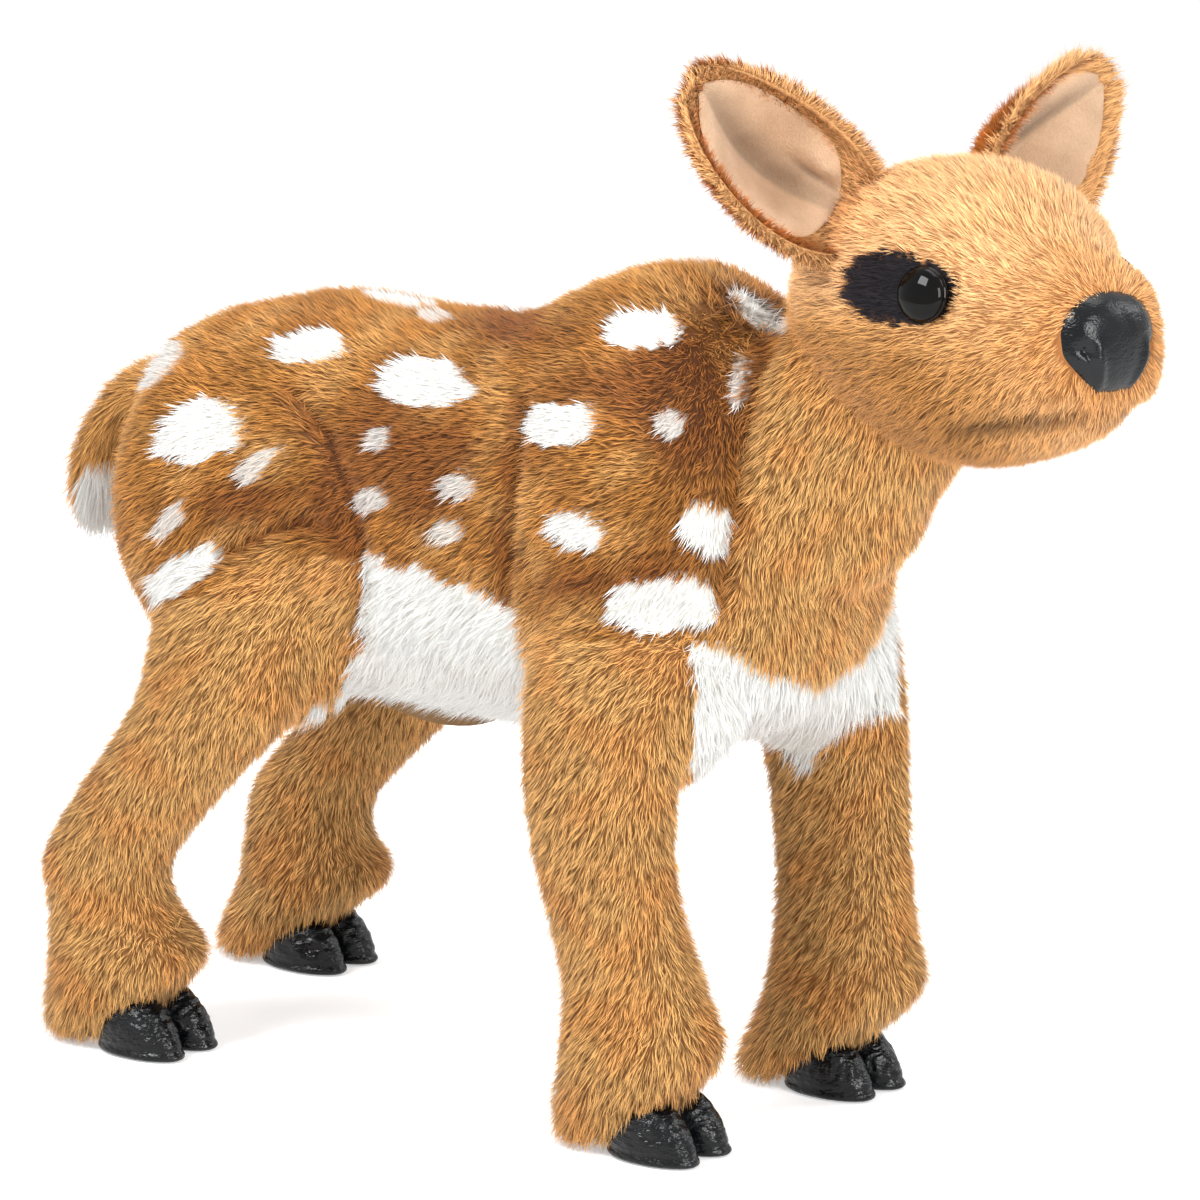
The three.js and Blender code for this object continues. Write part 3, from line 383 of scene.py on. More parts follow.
def plush(name, ground):
    """Root and tip colours mixed along the hair, the dark root as painted shade between the hairs and the light tip as
    painted light, then one cloth after another by its share. Each hair has its own shade, low + rise·shade, which
    changes white hair less than the rest."""
    finish = Finish(name)
    # Painted shade at each hair's root and painted light at its tip
    along = finish.between(finish.attribute("tip"), 0.0, 0.65)
    shade = finish.attribute("shade")
    patches = finish.between(finish.noise(38.0), 0.35, 0.7)
    low, rise = SHADE_RANGE
    own = finish.shaded(finish.mix(along, *ground), (1.08 - 0.30 * patches) * (low + rise * shade))
    for key, pair in CLOTHS.items():
        low, rise = WHITE_SHADE_RANGE if key == "white" else SHADE_RANGE
        own = finish.mix(finish.attribute(key), own, finish.shaded(finish.mix(along, *pair), low + rise * shade))
    return finish.surface(
        Base_Color=own, Roughness=0.62, Specular_IOR_Level=0.14, Sheen_Weight=0.06, Sheen_Roughness=0.4,
    )


pile_finish = plush("plush_pile", BROWN)
print("plush finish ready")

# %% [markdown]
# ## Pile that can be combed
# Real hairs would need a particle system, which a mesh model doesn't keep, so each hair is one narrow pointed
# triangle. The hairs are strewn evenly over a skin by area, lean the way the fabric is combed, gather in small
# tufts, and take their shading normal from the skin under them, so that the coat shades as one soft form. Each hair
# has its own small place on the UV map, in an order that follows the body, so that its colour can be baked.

# %% Growing the pile
PILE_SHARE = 1.0
TUFTING, STRAY = 0.26, 0.13
GUARD_SHARE = 0.24
# Factors of the guard hairs, and of the rest
GUARD_LIFT, GUARD_REACH, GUARD_WIDTH = (1.25, 0.85), (1.15, 0.85), (1.2, 0.95)
ROOT_DEPTH, GROUND_GAP = 0.4, 0.2
NORMAL_SCATTER, NORMAL_LEAN = 0.32, 0.3


def grow_pile(name, points, faces, comb, length, density, values, seed, lift=0.5, width=0.4, tuft=6.0, along=0):
    """Root r on the skin with normal n; g is the comb's part along the skin. The hair's tip is
    r + L·unit(g + lift·n), and its foot lies across g, a little under the skin. One hair in a few is a guard
    hair, longer, lighter and standing over the rest, and the rest are darker, partly at random and partly as painted
    shade under the guard hairs."""
    rng = np.random.default_rng(seed)
    tri = three_sided(faces)
    normals = point_normals(points, faces)
    a, b, c = points[tri].transpose(1, 0, 2)
    size = np.linalg.norm(np.cross(b - a, c - a), axis=1) / 2
    total = np.cumsum(size * density(points[tri].mean(1)))
    count = int(total[-1] * PILE_SHARE)
    pick = np.searchsorted(total, np.sort(rng.uniform(0, total[-1], count)))
    pick = np.minimum(pick, len(tri) - 1)
    share = rng.dirichlet((1, 1, 1), count)
    root = (points[tri[pick]] * share[..., None]).sum(1)
    n = unit((normals[tri[pick]] * share[..., None]).sum(1))
    order = along_order(root, along)
    root, n = root[order], n[order]
    g = unit(comb(root, n))
    loose = np.stack([waves(root, tuft, seed + k) for k in (1, 2, 3)], -1)
    g = g + TUFTING * loose + rng.normal(0, STRAY, (count, 3))
    g = unit(g - n * (g * n).sum(1, keepdims=True))
    guard = (rng.uniform(size=count) < GUARD_SHARE)[:, None]
    stand = unit(g + lift * np.where(guard, *GUARD_LIFT) * rng.uniform(0.7, 1.3, (count, 1)) * n)
    reach = length(root)[:, None] * np.where(guard, *GUARD_REACH) * rng.uniform(0.75, 1.2, (count, 1))
    side = unit(np.cross(n, g)) * width / 2 * np.where(guard, *GUARD_WIDTH)
    low = root - ROOT_DEPTH * n
    hair = np.stack([low - side, low + side, root + reach * stand], 1)
    hair[..., 2] = np.maximum(hair[..., 2], GROUND_GAP)
    normal = unit(n + NORMAL_SCATTER * unit(rng.normal(size=(count, 3))) + NORMAL_LEAN * g)
    facts = {key: np.repeat(value, 3) for key, value in values(root, n).items()}
    # Guard hairs light, the rest darker: random tone, and painted shade under the guard hairs
    facts["shade"] = np.repeat(np.where(guard[:, 0], rng.uniform(0.7, 1, count), rng.uniform(0, 0.6, count)), 3)
    facts["tip"] = np.tile([0.0, 0.0, 1.0], count)
    corners = np.arange(3 * count).reshape(-1, 3)[:, ::-1]
    piece = new_piece(name, hair.reshape(-1, 3), [corners], pile_finish, np.repeat(normal, 3, 0), facts)
    lay_hairs(piece.data, count)
    print(name, count, "hairs")
    return piece


def along_order(root, axis):
    """Rows of equal count along one axis, and within a row by the angle round it."""
    rows = max(int(np.sqrt(len(root))), 1)
    rank = np.empty(len(root), int)
    rank[np.argsort(root[:, axis], kind="stable")] = np.arange(len(root))
    row = rank * rows // max(len(root), 1)
    others = [k for k in range(3) if k != axis]
    off = root[:, others] - np.median(root[:, others], 0)
    return np.lexsort((np.arctan2(off[:, 1], off[:, 0]), row))


def lay_hairs(mesh, count):
    """Each hair in its own cell of a square grid on the UV map: foot at the bottom, tip at the top."""
    cells = int(np.ceil(np.sqrt(count)))
    k = np.arange(count)
    corner = np.stack([k % cells, k // cells], -1)[:, None, :]
    hair = np.array([[0.04, 0.04], [0.96, 0.04], [0.5, 0.96]])
    spread = ((corner + hair) / cells).reshape(-1, 2)
    used = np.empty(len(mesh.loops), np.int32)
    mesh.loops.foreach_get("vertex_index", used)
    layer = mesh.uv_layers.new(name="OFBake")
    layer.data.foreach_set("uv", spread[used].ravel().astype(np.float32))


# %% Placing the pieces
def settle(piece, slot, body, *nodes):
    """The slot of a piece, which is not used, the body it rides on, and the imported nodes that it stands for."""
    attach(piece, body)
    if nodes:
        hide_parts(*nodes)


def bend(pieces, start, end):
    """Bakes each piece's place into its points. The start and end points are not used."""
    for piece in pieces:
        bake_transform(piece)


# %% [markdown]
# ## The body's skin
# Torso, shoulders, legs and neck are sewn into one another and stuffed, so no edge shows where a leg leaves the
# body. Each form is worked out by itself as rings, a little inside the outside of the coat, because the pile
# stands on it. Then the forms are put together, remeshed as one skin and smoothed, which rounds the places where
# they meet as stuffing does.

# %% Sizes of the body
PILE_DEPTH = 2.2
TORSO_ROWS = [
    [-133, 10, 212, 186], [-128, 30, 222, 166], [-116, 45, 231, 144], [-96, 57, 238, 123], [-66, 62, 244, 113],
    [-28, 60, 243, 115], [14, 58, 248, 116], [44, 60, 262, 116], [70, 62, 269, 117], [96, 59, 257, 121],
    [116, 49, 240, 131], [130, 34, 220, 147], [136, 14, 200, 166],
]
TORSO_FULLNESS, TORSO_HALF_LENGTH = 2.25, 134.5
NECK_BASE, NECK_TOP = np.array([108.0, 0, 199]), np.array([150.0, 0, 246])
HIP_FACE = 40
SHOULDER_BULGE = 31
HEM_SLANT, HEM_SLANT_HEIGHT = 9, 48
BODY_VOXEL, BODY_SMOOTHING = 2.2, 9
# Centre x, y, z and radii
HAUNCH = (-88, 40, 178, 33, 27, 48)
SHOULDER = (76, 40, 182, 34, 25, 46)
FRONT_ROWS = [
    [146, 82, 31, 15.5, 0], [121, 80.5, 29.5, 17, 0], [96, 81, 26.5, 17.5, -1], [75, 84, 25, 18, -4],
    [53, 89, 25.5, 20, -9], [32, 92, 28.5, 24, -13], [14, 85, 25, 22.5, -13], [2, 80, 19, 17, -8],
]
REAR_ROWS = [
    [146, -64, 32.5, 15.5, 0], [120, -69, 31, 18, 0], [101, -84, 28, 18, -1], [82, -101, 26, 18, -2],
    [61, -117, 24, 19, -5], [46, -117, 24, 20, -8], [30, -112, 29, 24, -12], [14, -120, 25, 22.5, -12],
    [2, -124, 19, 17, -8],
]
LEGS = {
    "front_right": dict(rows=FRONT_ROWS, top=(82, 146, 37), side=-1, stride=0, bow=0, spread=0),
    "front_left": dict(rows=FRONT_ROWS, top=(82, 146, 37), side=1, stride=1, bow=11, spread=-7),
    "rear_right": dict(rows=REAR_ROWS, top=(-64, 146, 38), side=-1, stride=4, bow=-3, spread=3),
    "rear_left": dict(rows=REAR_ROWS, top=(-64, 146, 38), side=1, stride=-19, bow=5, spread=8),
}


# %% Forms of the body
def torso_rings(inset, rings=48, sides=64):
    """Rings along x: half width and half height from the rows, less the inset."""
    x, w, top, bottom = smooth_rows(TORSO_ROWS, rings).T[..., None]
    c, s = oval(sides, TORSO_FULLNESS)
    half = np.maximum((top - bottom) / 2 - inset, 1)
    x = x * (TORSO_HALF_LENGTH - inset) / TORSO_HALF_LENGTH
    return np.stack([x + 0 * c, np.maximum(w - inset, 1) * c, (top + bottom) / 2 + half * s], -1)


def leg_centres(leg, z, x, half_width, inner):
    """Low is 0 at the hip and 1 on the ground; stride and bow move the leg along x, spread moves it out."""
    low = 1 - z / leg["rows"][0][0]
    ahead = x + leg["stride"] * low + leg["bow"] * np.sin(np.pi * low)
    return ahead, leg["side"] * (HIP_FACE + inner + half_width + leg["spread"] * low)


def leg_rings(leg, inset, rings=40, sides=40):
    """Rings going up the leg; near the ground they slant, high over the hoof and low at the heel."""
    z, x, half_length, half_width, inner = smooth_rows(leg["rows"], rings).T
    ahead, across = leg_centres(leg, z, x, half_width, inner)
    c, s = oval(sides, 2.1)
    reach = (half_length - inset)[:, None] * c
    wide = (half_width - inset)[:, None] * s
    slant = HEM_SLANT * np.clip(1 - z / HEM_SLANT_HEIGHT, 0, 1)[:, None] * c
    height = np.maximum(z[:, None] + slant, leg["rows"][-1][0] + inset)
    return np.stack([ahead[:, None] + reach, across[:, None] + wide, height], -1)


def ball_rings(centre, radii, rings=24, sides=40):
    """An ellipsoid as rings across y."""
    polar = np.linspace(0.04, np.pi - 0.04, rings)[:, None]
    turn = whole_turn(sides)[None]
    unit_ball = np.stack([np.sin(polar) * np.cos(turn), -np.cos(polar) + 0 * turn, np.sin(polar) * np.sin(turn)], -1)
    return np.array(centre) + unit_ball * np.array(radii)


def leg_top_rings(leg, inset):
    """An ellipsoid about the hip, wide in x and z and as deep as the shoulder's bulge."""
    x, z, radius = leg["top"]
    return ball_rings([x, leg["side"] * HIP_FACE, z], np.array([radius, SHOULDER_BULGE, radius]) - inset)


def muscle_rings(leg, inset):
    """The haunch or shoulder above the leg: an upright ellipsoid that stands a little out of the flank."""
    x, y, z, *radii = HAUNCH if leg["rows"] is REAR_ROWS else SHOULDER
    return ball_rings([x, leg["side"] * y, z], np.array(radii) - inset)


neck_axis = unit(NECK_TOP - NECK_BASE)
neck_up = np.cross(neck_axis, [0, 1, 0])


def neck_rings(inset, rings=40, sides=48):
    """Rings across the neck's axis from inside the chest to inside the head."""
    length = np.linalg.norm(NECK_TOP - NECK_BASE)
    rows = [
        [-38, 12, 12], [-26, 29, 29], [0, 39, 40], [20, 38, 42], [length / 2, 36.5, 38], [length, 34, 34],
        [length + 22, 26, 26],
    ]
    at, wide, high = smooth_rows(rows, rings).T[..., None]
    c, s = oval(sides, 2.05)
    centre = NECK_BASE + at[..., None] * neck_axis
    ring = (wide - inset) * c
    rise = (high - inset) * s
    return centre + ring[..., None] * np.array([0, 1, 0]) + rise[..., None] * neck_up


# %% One skin
def joined(parts):
    """One list of points and faces from several."""
    points, faces, start = [], {3: [], 4: []}, 0
    for p, fs in parts:
        points.append(p)
        for f in fs:
            faces[f.shape[1]].append(f + start)
        start += len(p)
    return np.concatenate(points), [np.concatenate(f) for f in faces.values() if f]


def remeshed(name, points, faces, voxel, smoothing):
    """Voxel remesh, which makes quads only, and smoothing in Blender; gives the points in millimetres and quads."""
    source = new_piece(name, points, faces)
    grid = source.modifiers.new("remesh", "REMESH")
    grid.mode, grid.voxel_size = "VOXEL", voxel / 1000
    soft = source.modifiers.new("soft", "SMOOTH")
    soft.factor, soft.iterations = 0.5, smoothing
    made = source.evaluated_get(bpy.context.evaluated_depsgraph_get()).to_mesh()
    found = np.empty(len(made.vertices) * 3)
    made.vertices.foreach_get("co", found)
    used = np.empty(len(made.loops), np.int32)
    made.loops.foreach_get("vertex_index", used)
    bpy.data.objects.remove(source)
    return found.reshape(-1, 3) * 1000 + STANDING_CENTRE, used.reshape(-1, 4)


forms = [torso_rings(PILE_DEPTH), neck_rings(PILE_DEPTH)]
for leg in LEGS.values():
    forms += [leg_rings(leg, PILE_DEPTH), leg_top_rings(leg, PILE_DEPTH), muscle_rings(leg, PILE_DEPTH)]
body_form = joined([closed_rings(f) for f in forms])
body_points, body_quads = remeshed("body", *body_form, BODY_VOXEL, BODY_SMOOTHING)
print("body skin:", len(body_points), "points")

# %% [markdown]
# The stuffing pulls the cloth in where the haunch and the shoulder are stitched through and where the neck begins.
# Each of these creases is a line in the picture, mirrored to the far side, along which the skin is drawn in.

# %% Creases
CREASES = [
    [(300, 396), (330, 436), (352, 500), (366, 572), (365, 640)],
    [(216, 558), (232, 549), (260, 536), (300, 524), (334, 528)],
    [(524, 400), (512, 500), (506, 600)],
    [(776, 318), (748, 410), (735, 520), (722, 600)],
]
CREASE_DEPTH, CREASE_REACH, FOLD_SHADE_REACH = 4.5, 9.0, 12.0
CREASE_FLOOR = 100


def near_side(points, shift=0.0):
    """Points of the fawn's left mirrored to its right, and shifted along x."""
    far = points[:, 1] > 0
    turned = points.copy()
    turned[:, 1] = -abs(turned[:, 1])
    turned[far, 0] += shift
    return turned


def distance_to_line(at, line):
    """The least distance from points of the picture to a line of straight parts."""
    least = np.full(len(at), 1e9)
    for a, b in zip(np.array(line[:-1], float), np.array(line[1:], float)):
        t = np.clip((at - a) @ (b - a) / ((b - a) @ (b - a)), 0, 1)
        least = np.minimum(least, np.linalg.norm(at - a - t[:, None] * (b - a), axis=1))
    return least


def drawn_in(points, normals):
    """How deep the creases lie at each point of the flanks."""
    at = in_picture(near_side(points))
    depth = sum(bump(distance_to_line(at, line), CREASE_REACH) for line in CREASES)
    return CREASE_DEPTH * depth * step_between(abs(normals[:, 1]), 0.2, 0.5) * (points[:, 2] > CREASE_FLOOR)


skin_normals = point_normals(body_points, [body_quads])
body_points = body_points - skin_normals * drawn_in(body_points, skin_normals)[:, None]

# %% [markdown]
# ## Seams and spots
# The coat is brown above, with white spots, and meets tan legs and neck and a white belly and chest at seams. The
# seams and spots are drawn where the picture shows them: each point of the skin on the far side is first mirrored to
# the near side, then its place in the picture says which cloth it belongs to. The spots of the far side are
# shifted a little, because a real coat is never the same on both sides, and the ridge has its own row of spots.

# %% Outline of the brown coat, and its spots
COAT_EDGE = [
    (60, 150), (820, 150), (805, 300), (768, 380), (738, 440), (731, 550), (716, 640), (650, 640), (565, 632),
    (505, 598), (440, 577), (365, 555), (348, 545), (280, 566), (200, 596), (135, 612), (60, 612),
]
BELLY_WHITE = [
    (366, 548), (364, 640), (346, 684), (316, 708), (300, 740), (520, 740), (506, 598), (440, 570), (400, 560),
]
THIGH = [(200, 540), (366, 540), (364, 640), (346, 684), (312, 712), (200, 760)]
CHEST_BAND = [
    (696, 628), (760, 668), (820, 684), (862, 668), (930, 560), (930, 650), (870, 704), (762, 748), (690, 770),
]
# Centre across and down, width, height and slant in degrees
SPOTS = [
    (314, 347, 72, 34, -4), (427, 383, 92, 48, 6), (204, 431, 84, 60, -15), (260, 463, 52, 20, -38),
    (165, 365, 58, 24, -42), (439, 318, 34, 12, 0), (383, 438, 25, 26, 0), (373, 498, 32, 26, 0),
    (462, 486, 38, 27, 8), (448, 530, 36, 24, 0), (173, 518, 44, 20, -52), (187, 569, 84, 34, -33),
    (646, 331, 76, 36, 0), (564, 423, 68, 44, -4), (673, 422, 28, 30, 0), (579, 529, 60, 34, 14),
    (708, 525, 50, 46, 20), (663, 603, 110, 58, -2), (740, 380, 14, 48, 8), (789, 318, 12, 22, 0),
]
# Spots along the ridge: x, y and half sizes in millimetres
RIDGE_SPOTS = [(-92, 6, 13, 8), (-45, 7, 14, 8), (10, 8, 14, 9), (60, 12, 9, 6), (95, 4, 9, 7), (-116, -6, 8, 9)]
FAR_SHIFT = 14.0
SPOT_SQUARENESS, SPOT_FULL_AREA = 2.3, 1600
# Painted shade, where the brown is made deepest: centre across and down, half width and half height
SHADE_DIPS = [
    (425, 470, 80, 75), (640, 380, 80, 34), (350, 500, 26, 80), (690, 430, 45, 80), (610, 575, 90, 30),
    (520, 330, 60, 22), (240, 500, 60, 26),
]


def inside(edge, at):
    """Even-odd rule: a point is inside if a line from it to the right crosses the outline an odd number of times."""
    hit = np.zeros(len(at), bool)
    for (x0, y0), (x1, y1) in zip(edge, edge[1:] + edge[:1]):
        crosses = (y0 > at[:, 1]) != (y1 > at[:, 1])
        slope = (x1 - x0) / (y1 - y0 if y1 != y0 else 1e-9)
        hit ^= crosses & (at[:, 0] < x0 + slope * (at[:, 1] - y0))
    return hit


def spotted(points):
    """How white the spots are: inside, the superellipse's own distance, roughened by noise, is below 1. Small spots
    have some brown hair among the white. None lies on the ridge or low on the rump but those of the ridge's row."""
    at = in_picture(near_side(points, FAR_SHIFT))
    rough = 0.10 * waves(points, 16, 5) + 0.05 * waves(points, 5, 6)
    white = np.zeros(len(points))
    for u, v, wide, high, slant in SPOTS:
        turn = np.radians(slant)
        dx, dy = at[:, 0] - u, at[:, 1] - v
        p = (dx * np.cos(turn) + dy * np.sin(turn)) / (wide / 2)
        q = (dy * np.cos(turn) - dx * np.sin(turn)) / (high / 2)
        spot = (abs(p) ** SPOT_SQUARENESS + abs(q) ** SPOT_SQUARENESS) ** (1 / SPOT_SQUARENESS) < 1 + rough
        white = np.maximum(white, spot * np.clip(wide * high / SPOT_FULL_AREA, 0.7, 1))
    white *= (points[:, 1] < 0) | (points[:, 1] > 14)
    white *= (abs(points[:, 1]) > 36) | (points[:, 0] > -100) | (points[:, 2] > 205) | (points[:, 1] < -20)
    for x, y, long, wide in RIDGE_SPOTS:
        off = np.hypot((points[:, 0] - x) / long, (points[:, 1] - y) / wide)
        white = np.maximum(white, (off < 1 + rough) & (points[:, 2] > 200))
    return white


def leg_profile(leg, z):
    """The middle along x and the half length of a leg at each height."""
    rows = smooth_rows(leg["rows"], 60)[::-1]
    return np.interp(z, rows[:, 0], rows[:, 1]), np.interp(z, rows[:, 0], rows[:, 2])


def leg_window(points, margin):
    """True where a point of the body lies within a leg's own length, front or rear."""
    near = np.zeros(len(points), bool)
    for leg in LEGS.values():
        x, half = leg_profile(leg, points[:, 2])
        near |= (abs(points[:, 0] - x) < half + margin) & (points[:, 1] * leg["side"] > 0)
    return near


def body_cloth(points, normals=None):
    """Which cloth the body has at a point: the share of deep brown, tan, rust and white, each from 0 to 1. The deep
    brown also carries painted shade in the coat's dips and along the creases, where the tan is painted darker.
    """
    wander = np.stack([waves(points, 22, 11), waves(points, 22, 12)], -1) * 4
    at = in_picture(near_side(points)) + wander
    brown = inside(COAT_EDGE, at)
    x, y, z = points.T
    rump = ~brown & (x < -112) & (z > 120) & (abs(y) < 34)
    band = ~brown & (z > 104) & (inside(CHEST_BAND, at) | ((x > 60) & (z < 138) & (abs(y) < HIP_FACE)))
    on_leg = leg_window(points, 3) & (abs(y) > HIP_FACE - 2)
    between_legs = ~brown & (x > -110) & (x < 94) & ~on_leg & (z > 105)
    flank = (z > 118) & inside(BELLY_WHITE, at) & (abs(x + 20) < 70)
    brown &= ~flank
    white = rump | band | (between_legs & ~inside(THIGH, at)) | flank
    tan = ~brown & ~white
    white = np.maximum(brown * spotted(points), white)
    # Painted shade in the dips, with random tone from noise
    deep = sum(bump(np.hypot((at[:, 0] - u) / wide, (at[:, 1] - v) / high), 1.0) for u, v, wide, high in SHADE_DIPS)
    deep = np.clip(deep + 0.25 * waves(points, 34, 13), 0, 0.9)
    gold = step_between(waves(points, 26, 14), -0.6, 1.2) * 0.55
    # Painted shade along the creases, on the brown and the tan
    fold = np.clip(sum(bump(distance_to_line(at, line), FOLD_SHADE_REACH) for line in CREASES), 0, 1)
    fold = fold * (z > CREASE_FLOOR)
    return {
        "deep": np.maximum(deep * brown, 0.9 * fold),
        "tan": np.maximum(tan * 1.0, brown * gold * (1 - deep)) * (1 - 0.7 * fold),
        "rust": tan * gold, "white": white * 1.0,
    }


# %% [markdown]
# ## Cutting the skin into pieces that move
# Each leg and the neck bends with its own joint, so the skin is cut where that joint's bending starts, at a
# slanting plane.

# %% Cut planes
LEG_CUT = {"y": 40.0, "z": 112.0}
LEG_CUT_OUT = np.array([0.0, 0.826, -0.563])
LEG_TURN_LENGTH = 22.0
NECK_CUT_OUT = unit(np.array([0.9, 0, 0.436]))
NECK_CUT_START, NECK_CUT_END = 5.0, 38.0
TORSO_MEMBER, NECK_MEMBER = 0, 5


def past_leg_cut(points, side):
    """Distance past the slanting plane at the top of a leg."""
    corner = np.array([0, side * LEG_CUT["y"], LEG_CUT["z"]])
    return (points - corner) @ (LEG_CUT_OUT * [1, side, 1])


def past_neck_cut(points):
    return (points - NECK_BASE) @ NECK_CUT_OUT - NECK_CUT_START


def member_of(points):
    """0 torso, 1 to 4 the legs in order, 5 the neck."""
    member = np.zeros(len(points), int)
    x, y, z = points.T
    for k, leg in enumerate(LEGS.values(), 1):
        at, half = leg_profile(leg, z)
        front = leg["rows"] is FRONT_ROWS
        mine = (y * leg["side"] > 0) & ((x > 10) == front) & (past_leg_cut(points, leg["side"]) > 0)
        member[mine & ((z < 108) | (abs(x - at) < half + 7))] = k
    member[(past_neck_cut(points) > 0) & (x > 84) & (z > 150)] = NECK_MEMBER
    return member


def cut_out(points, faces, keep):
    """The faces kept, with one mask for each array of faces, and only the points they use."""
    kept = [f[k] for f, k in zip(faces, keep) if k.any()]
    used = np.unique(np.concatenate([f.ravel() for f in kept]))
    again = np.zeros(len(points), int)
    again[used] = np.arange(len(used))
    return points[used], [again[f] for f in kept]


body_member = member_of(body_points[body_quads].mean(1))
print("faces of each member:", np.bincount(body_member))

# %% [markdown]
# ## Combing
# The pile lies the way a living fawn's hair does: back and down over the body, straight down the legs, and from the
# throat down to the chest. The direction at a point is a mix of these by where the point is.

# %% Comb direction and pile length of the body
def body_comb(points, normals):
    x, y, z = points.T
    back = np.stack([-np.ones_like(x), 0 * x, -0.25 - 0.75 * step_between(235 - z, 0, 60)], -1)
    down = np.stack([-0.22 + 0 * x, 0 * x, -np.ones_like(x)], -1)
    breast = np.stack([-0.35 + 0 * x, 0 * x, -np.ones_like(x)], -1)
    legwards = step_between(165 - z, 0, 30)[:, None]
    chestwards = step_between(x + 0.4 * (z - 200), 96, 118)[:, None]
    under = (step_between(-normals[:, 2], 0.5, 0.9) * (z > 104))[:, None]
    way = back * (1 - legwards) + down * legwards
    way = way * (1 - chestwards) + breast * chestwards
    return way * (1 - under) + np.array([-1.0, 0, 0]) * under


def body_length(points):
    cloth = body_cloth(points)
    z = points[:, 2]
    return 4.9 + 2.2 * cloth["white"] * (z < 165) + 1.4 * step_between(30 - z, 0, 14)


# %% Skins and pile of the body
COAT_DENSITY, LEG_DENSITY = 2.2, 2.1
SKIN_TIP, SKIN_SHADE = 0.15, 0.35


def plush_skin(name, points, faces, cloth, tip=SKIN_TIP):
    """The backing of one piece, in the tone its hair has near the root."""
    return new_piece(name, points, faces, pile_finish, None, cloth | {"tip": tip, "shade": SKIN_SHADE})


def furred(name, points, faces, cloth, comb, length, density, seed, **pile):
    """The backing and the pile of one piece."""
    skin = plush_skin(name, points, faces, cloth(points, point_normals(points, faces)))
    hairs = grow_pile(name + "_pile", points, faces, comb, length, density, cloth, seed, **pile)
    return skin, hairs


def even(amount):
    return lambda points: np.full(len(points), float(amount))


HAND_OPENING = {"x": -30.0, "long": 30.0, "wide": 30.0}


def clear_of_opening(points, grow):
    """Above 1 outside the oval of the hand opening under the belly."""
    along = (points[:, 0] - HAND_OPENING["x"]) / (HAND_OPENING["long"] + grow)
    off = np.hypot(along, points[:, 1] / (HAND_OPENING["wide"] + grow))
    return np.where(points[:, 2] < 150, off, 9.0)


torso_keep = (body_member == TORSO_MEMBER) & (clear_of_opening(body_points[body_quads].mean(1), -1.5) > 1)
torso_points, torso_faces = cut_out(body_points, [body_quads], [torso_keep])
torso_skin = plush_skin("torso_plush", torso_points, torso_faces, body_cloth(torso_points))
settle(
    torso_skin, "brown_plush", "torso",
    "torso_stuffing", "spotted_coat", "belly_panel", "chest_panel", "breast_panel", "rump_patch",
)


def where_brown(brown, half):
    """Density of the pile on the brown coat, or on the rest, on one side of the back."""
    def density(points):
        at = in_picture(near_side(points))
        return COAT_DENSITY * ((inside(COAT_EDGE, at) == brown) & (points[:, 1] * half >= 0))
    return density


for name, brown, half, seed in (
    ("coat_pile_right", True, -1, 20), ("coat_pile_left", True, 1, 24),
    ("belly_pile_right", False, -1, 28), ("belly_pile_left", False, 1, 32),
):
    hairs = grow_pile(
        name, torso_points, torso_faces, body_comb, body_length, where_brown(brown, half), body_cloth, seed,
    )
    settle(hairs, "brown_plush" if brown else "white_plush", "torso")

# %% Legs
for k, (name, leg) in enumerate(LEGS.items(), 1):
    points, faces = cut_out(body_points, [body_quads], [body_member == k])
    skin, hairs = furred(
        "leg_plush_" + name, points, faces, body_cloth, body_comb, body_length, even(LEG_DENSITY), 40 + 5 * k, along=2,
    )
    start = np.array([leg["top"][0], leg["side"] * LEG_CUT["y"], LEG_CUT["z"]])
    end = start + LEG_CUT_OUT * [1, leg["side"], 1] * LEG_TURN_LENGTH
    bend((skin, hairs), start, end)
    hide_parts("leg_stuffing_" + name, "leg_coat_" + name)

# %% Neck
points, faces = cut_out(body_points, [body_quads], [body_member == NECK_MEMBER])
neck_skin, neck_pile = furred(
    "neck_plush", points, faces, body_cloth, body_comb, body_length, even(LEG_DENSITY), 70, along=2,
)
start = NECK_BASE + NECK_CUT_OUT * NECK_CUT_START
end = NECK_BASE + NECK_CUT_OUT * NECK_CUT_END
bend((neck_skin, neck_pile), start, end)
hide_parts("neck_stuffing", "neck_coat")

# %% [markdown]
# ## The tail
# A flat drooping tail, brown above and white below, with longer hair. It is rings along a curve.

# %% Tail
TAIL_ROWS = [
    [-122, 206, 12, 8], [-134, 205, 14, 9], [-146, 200, 15.5, 10], [-156, 189, 16, 10.5], [-163, 176, 15.5, 10],
    [-167, 164, 12, 8], [-169, 156, 6, 4],
]
TAIL_BEND_START, TAIL_BEND_END = [-128, 0, 206], [-144, 0, 202]
TAIL_DENSITY = 3.4


def curve_rings(rows, rings, sides, inset, fullness=2.0):
    """Ovals across a curve in the upright plane: rows give x, z, half width and half depth."""
    x, z, wide, deep = smooth_rows(rows, rings).T
    run = unit(np.stack([np.gradient(x), 0 * x, np.gradient(z)], -1))
    up = np.cross(run, [0, 1, 0])
    c, s = oval(sides, fullness)
    centre = np.stack([x, 0 * x, z], -1)[:, None]
    across = np.array([0, 1, 0]) * ((wide - inset)[:, None] * c)[..., None]
    return centre + across + up[:, None] * ((deep - inset)[:, None] * s)[..., None]


def tail_cloth(points, normals):
    """White underneath, brown on top and on the sides."""
    white = (normals[:, 0] - 0.4 * normals[:, 2] > 0.3) & (points[:, 0] < -134) & (points[:, 2] < 180)
    return {"tan": 0.45 * ~white, "white": white * 1.0}


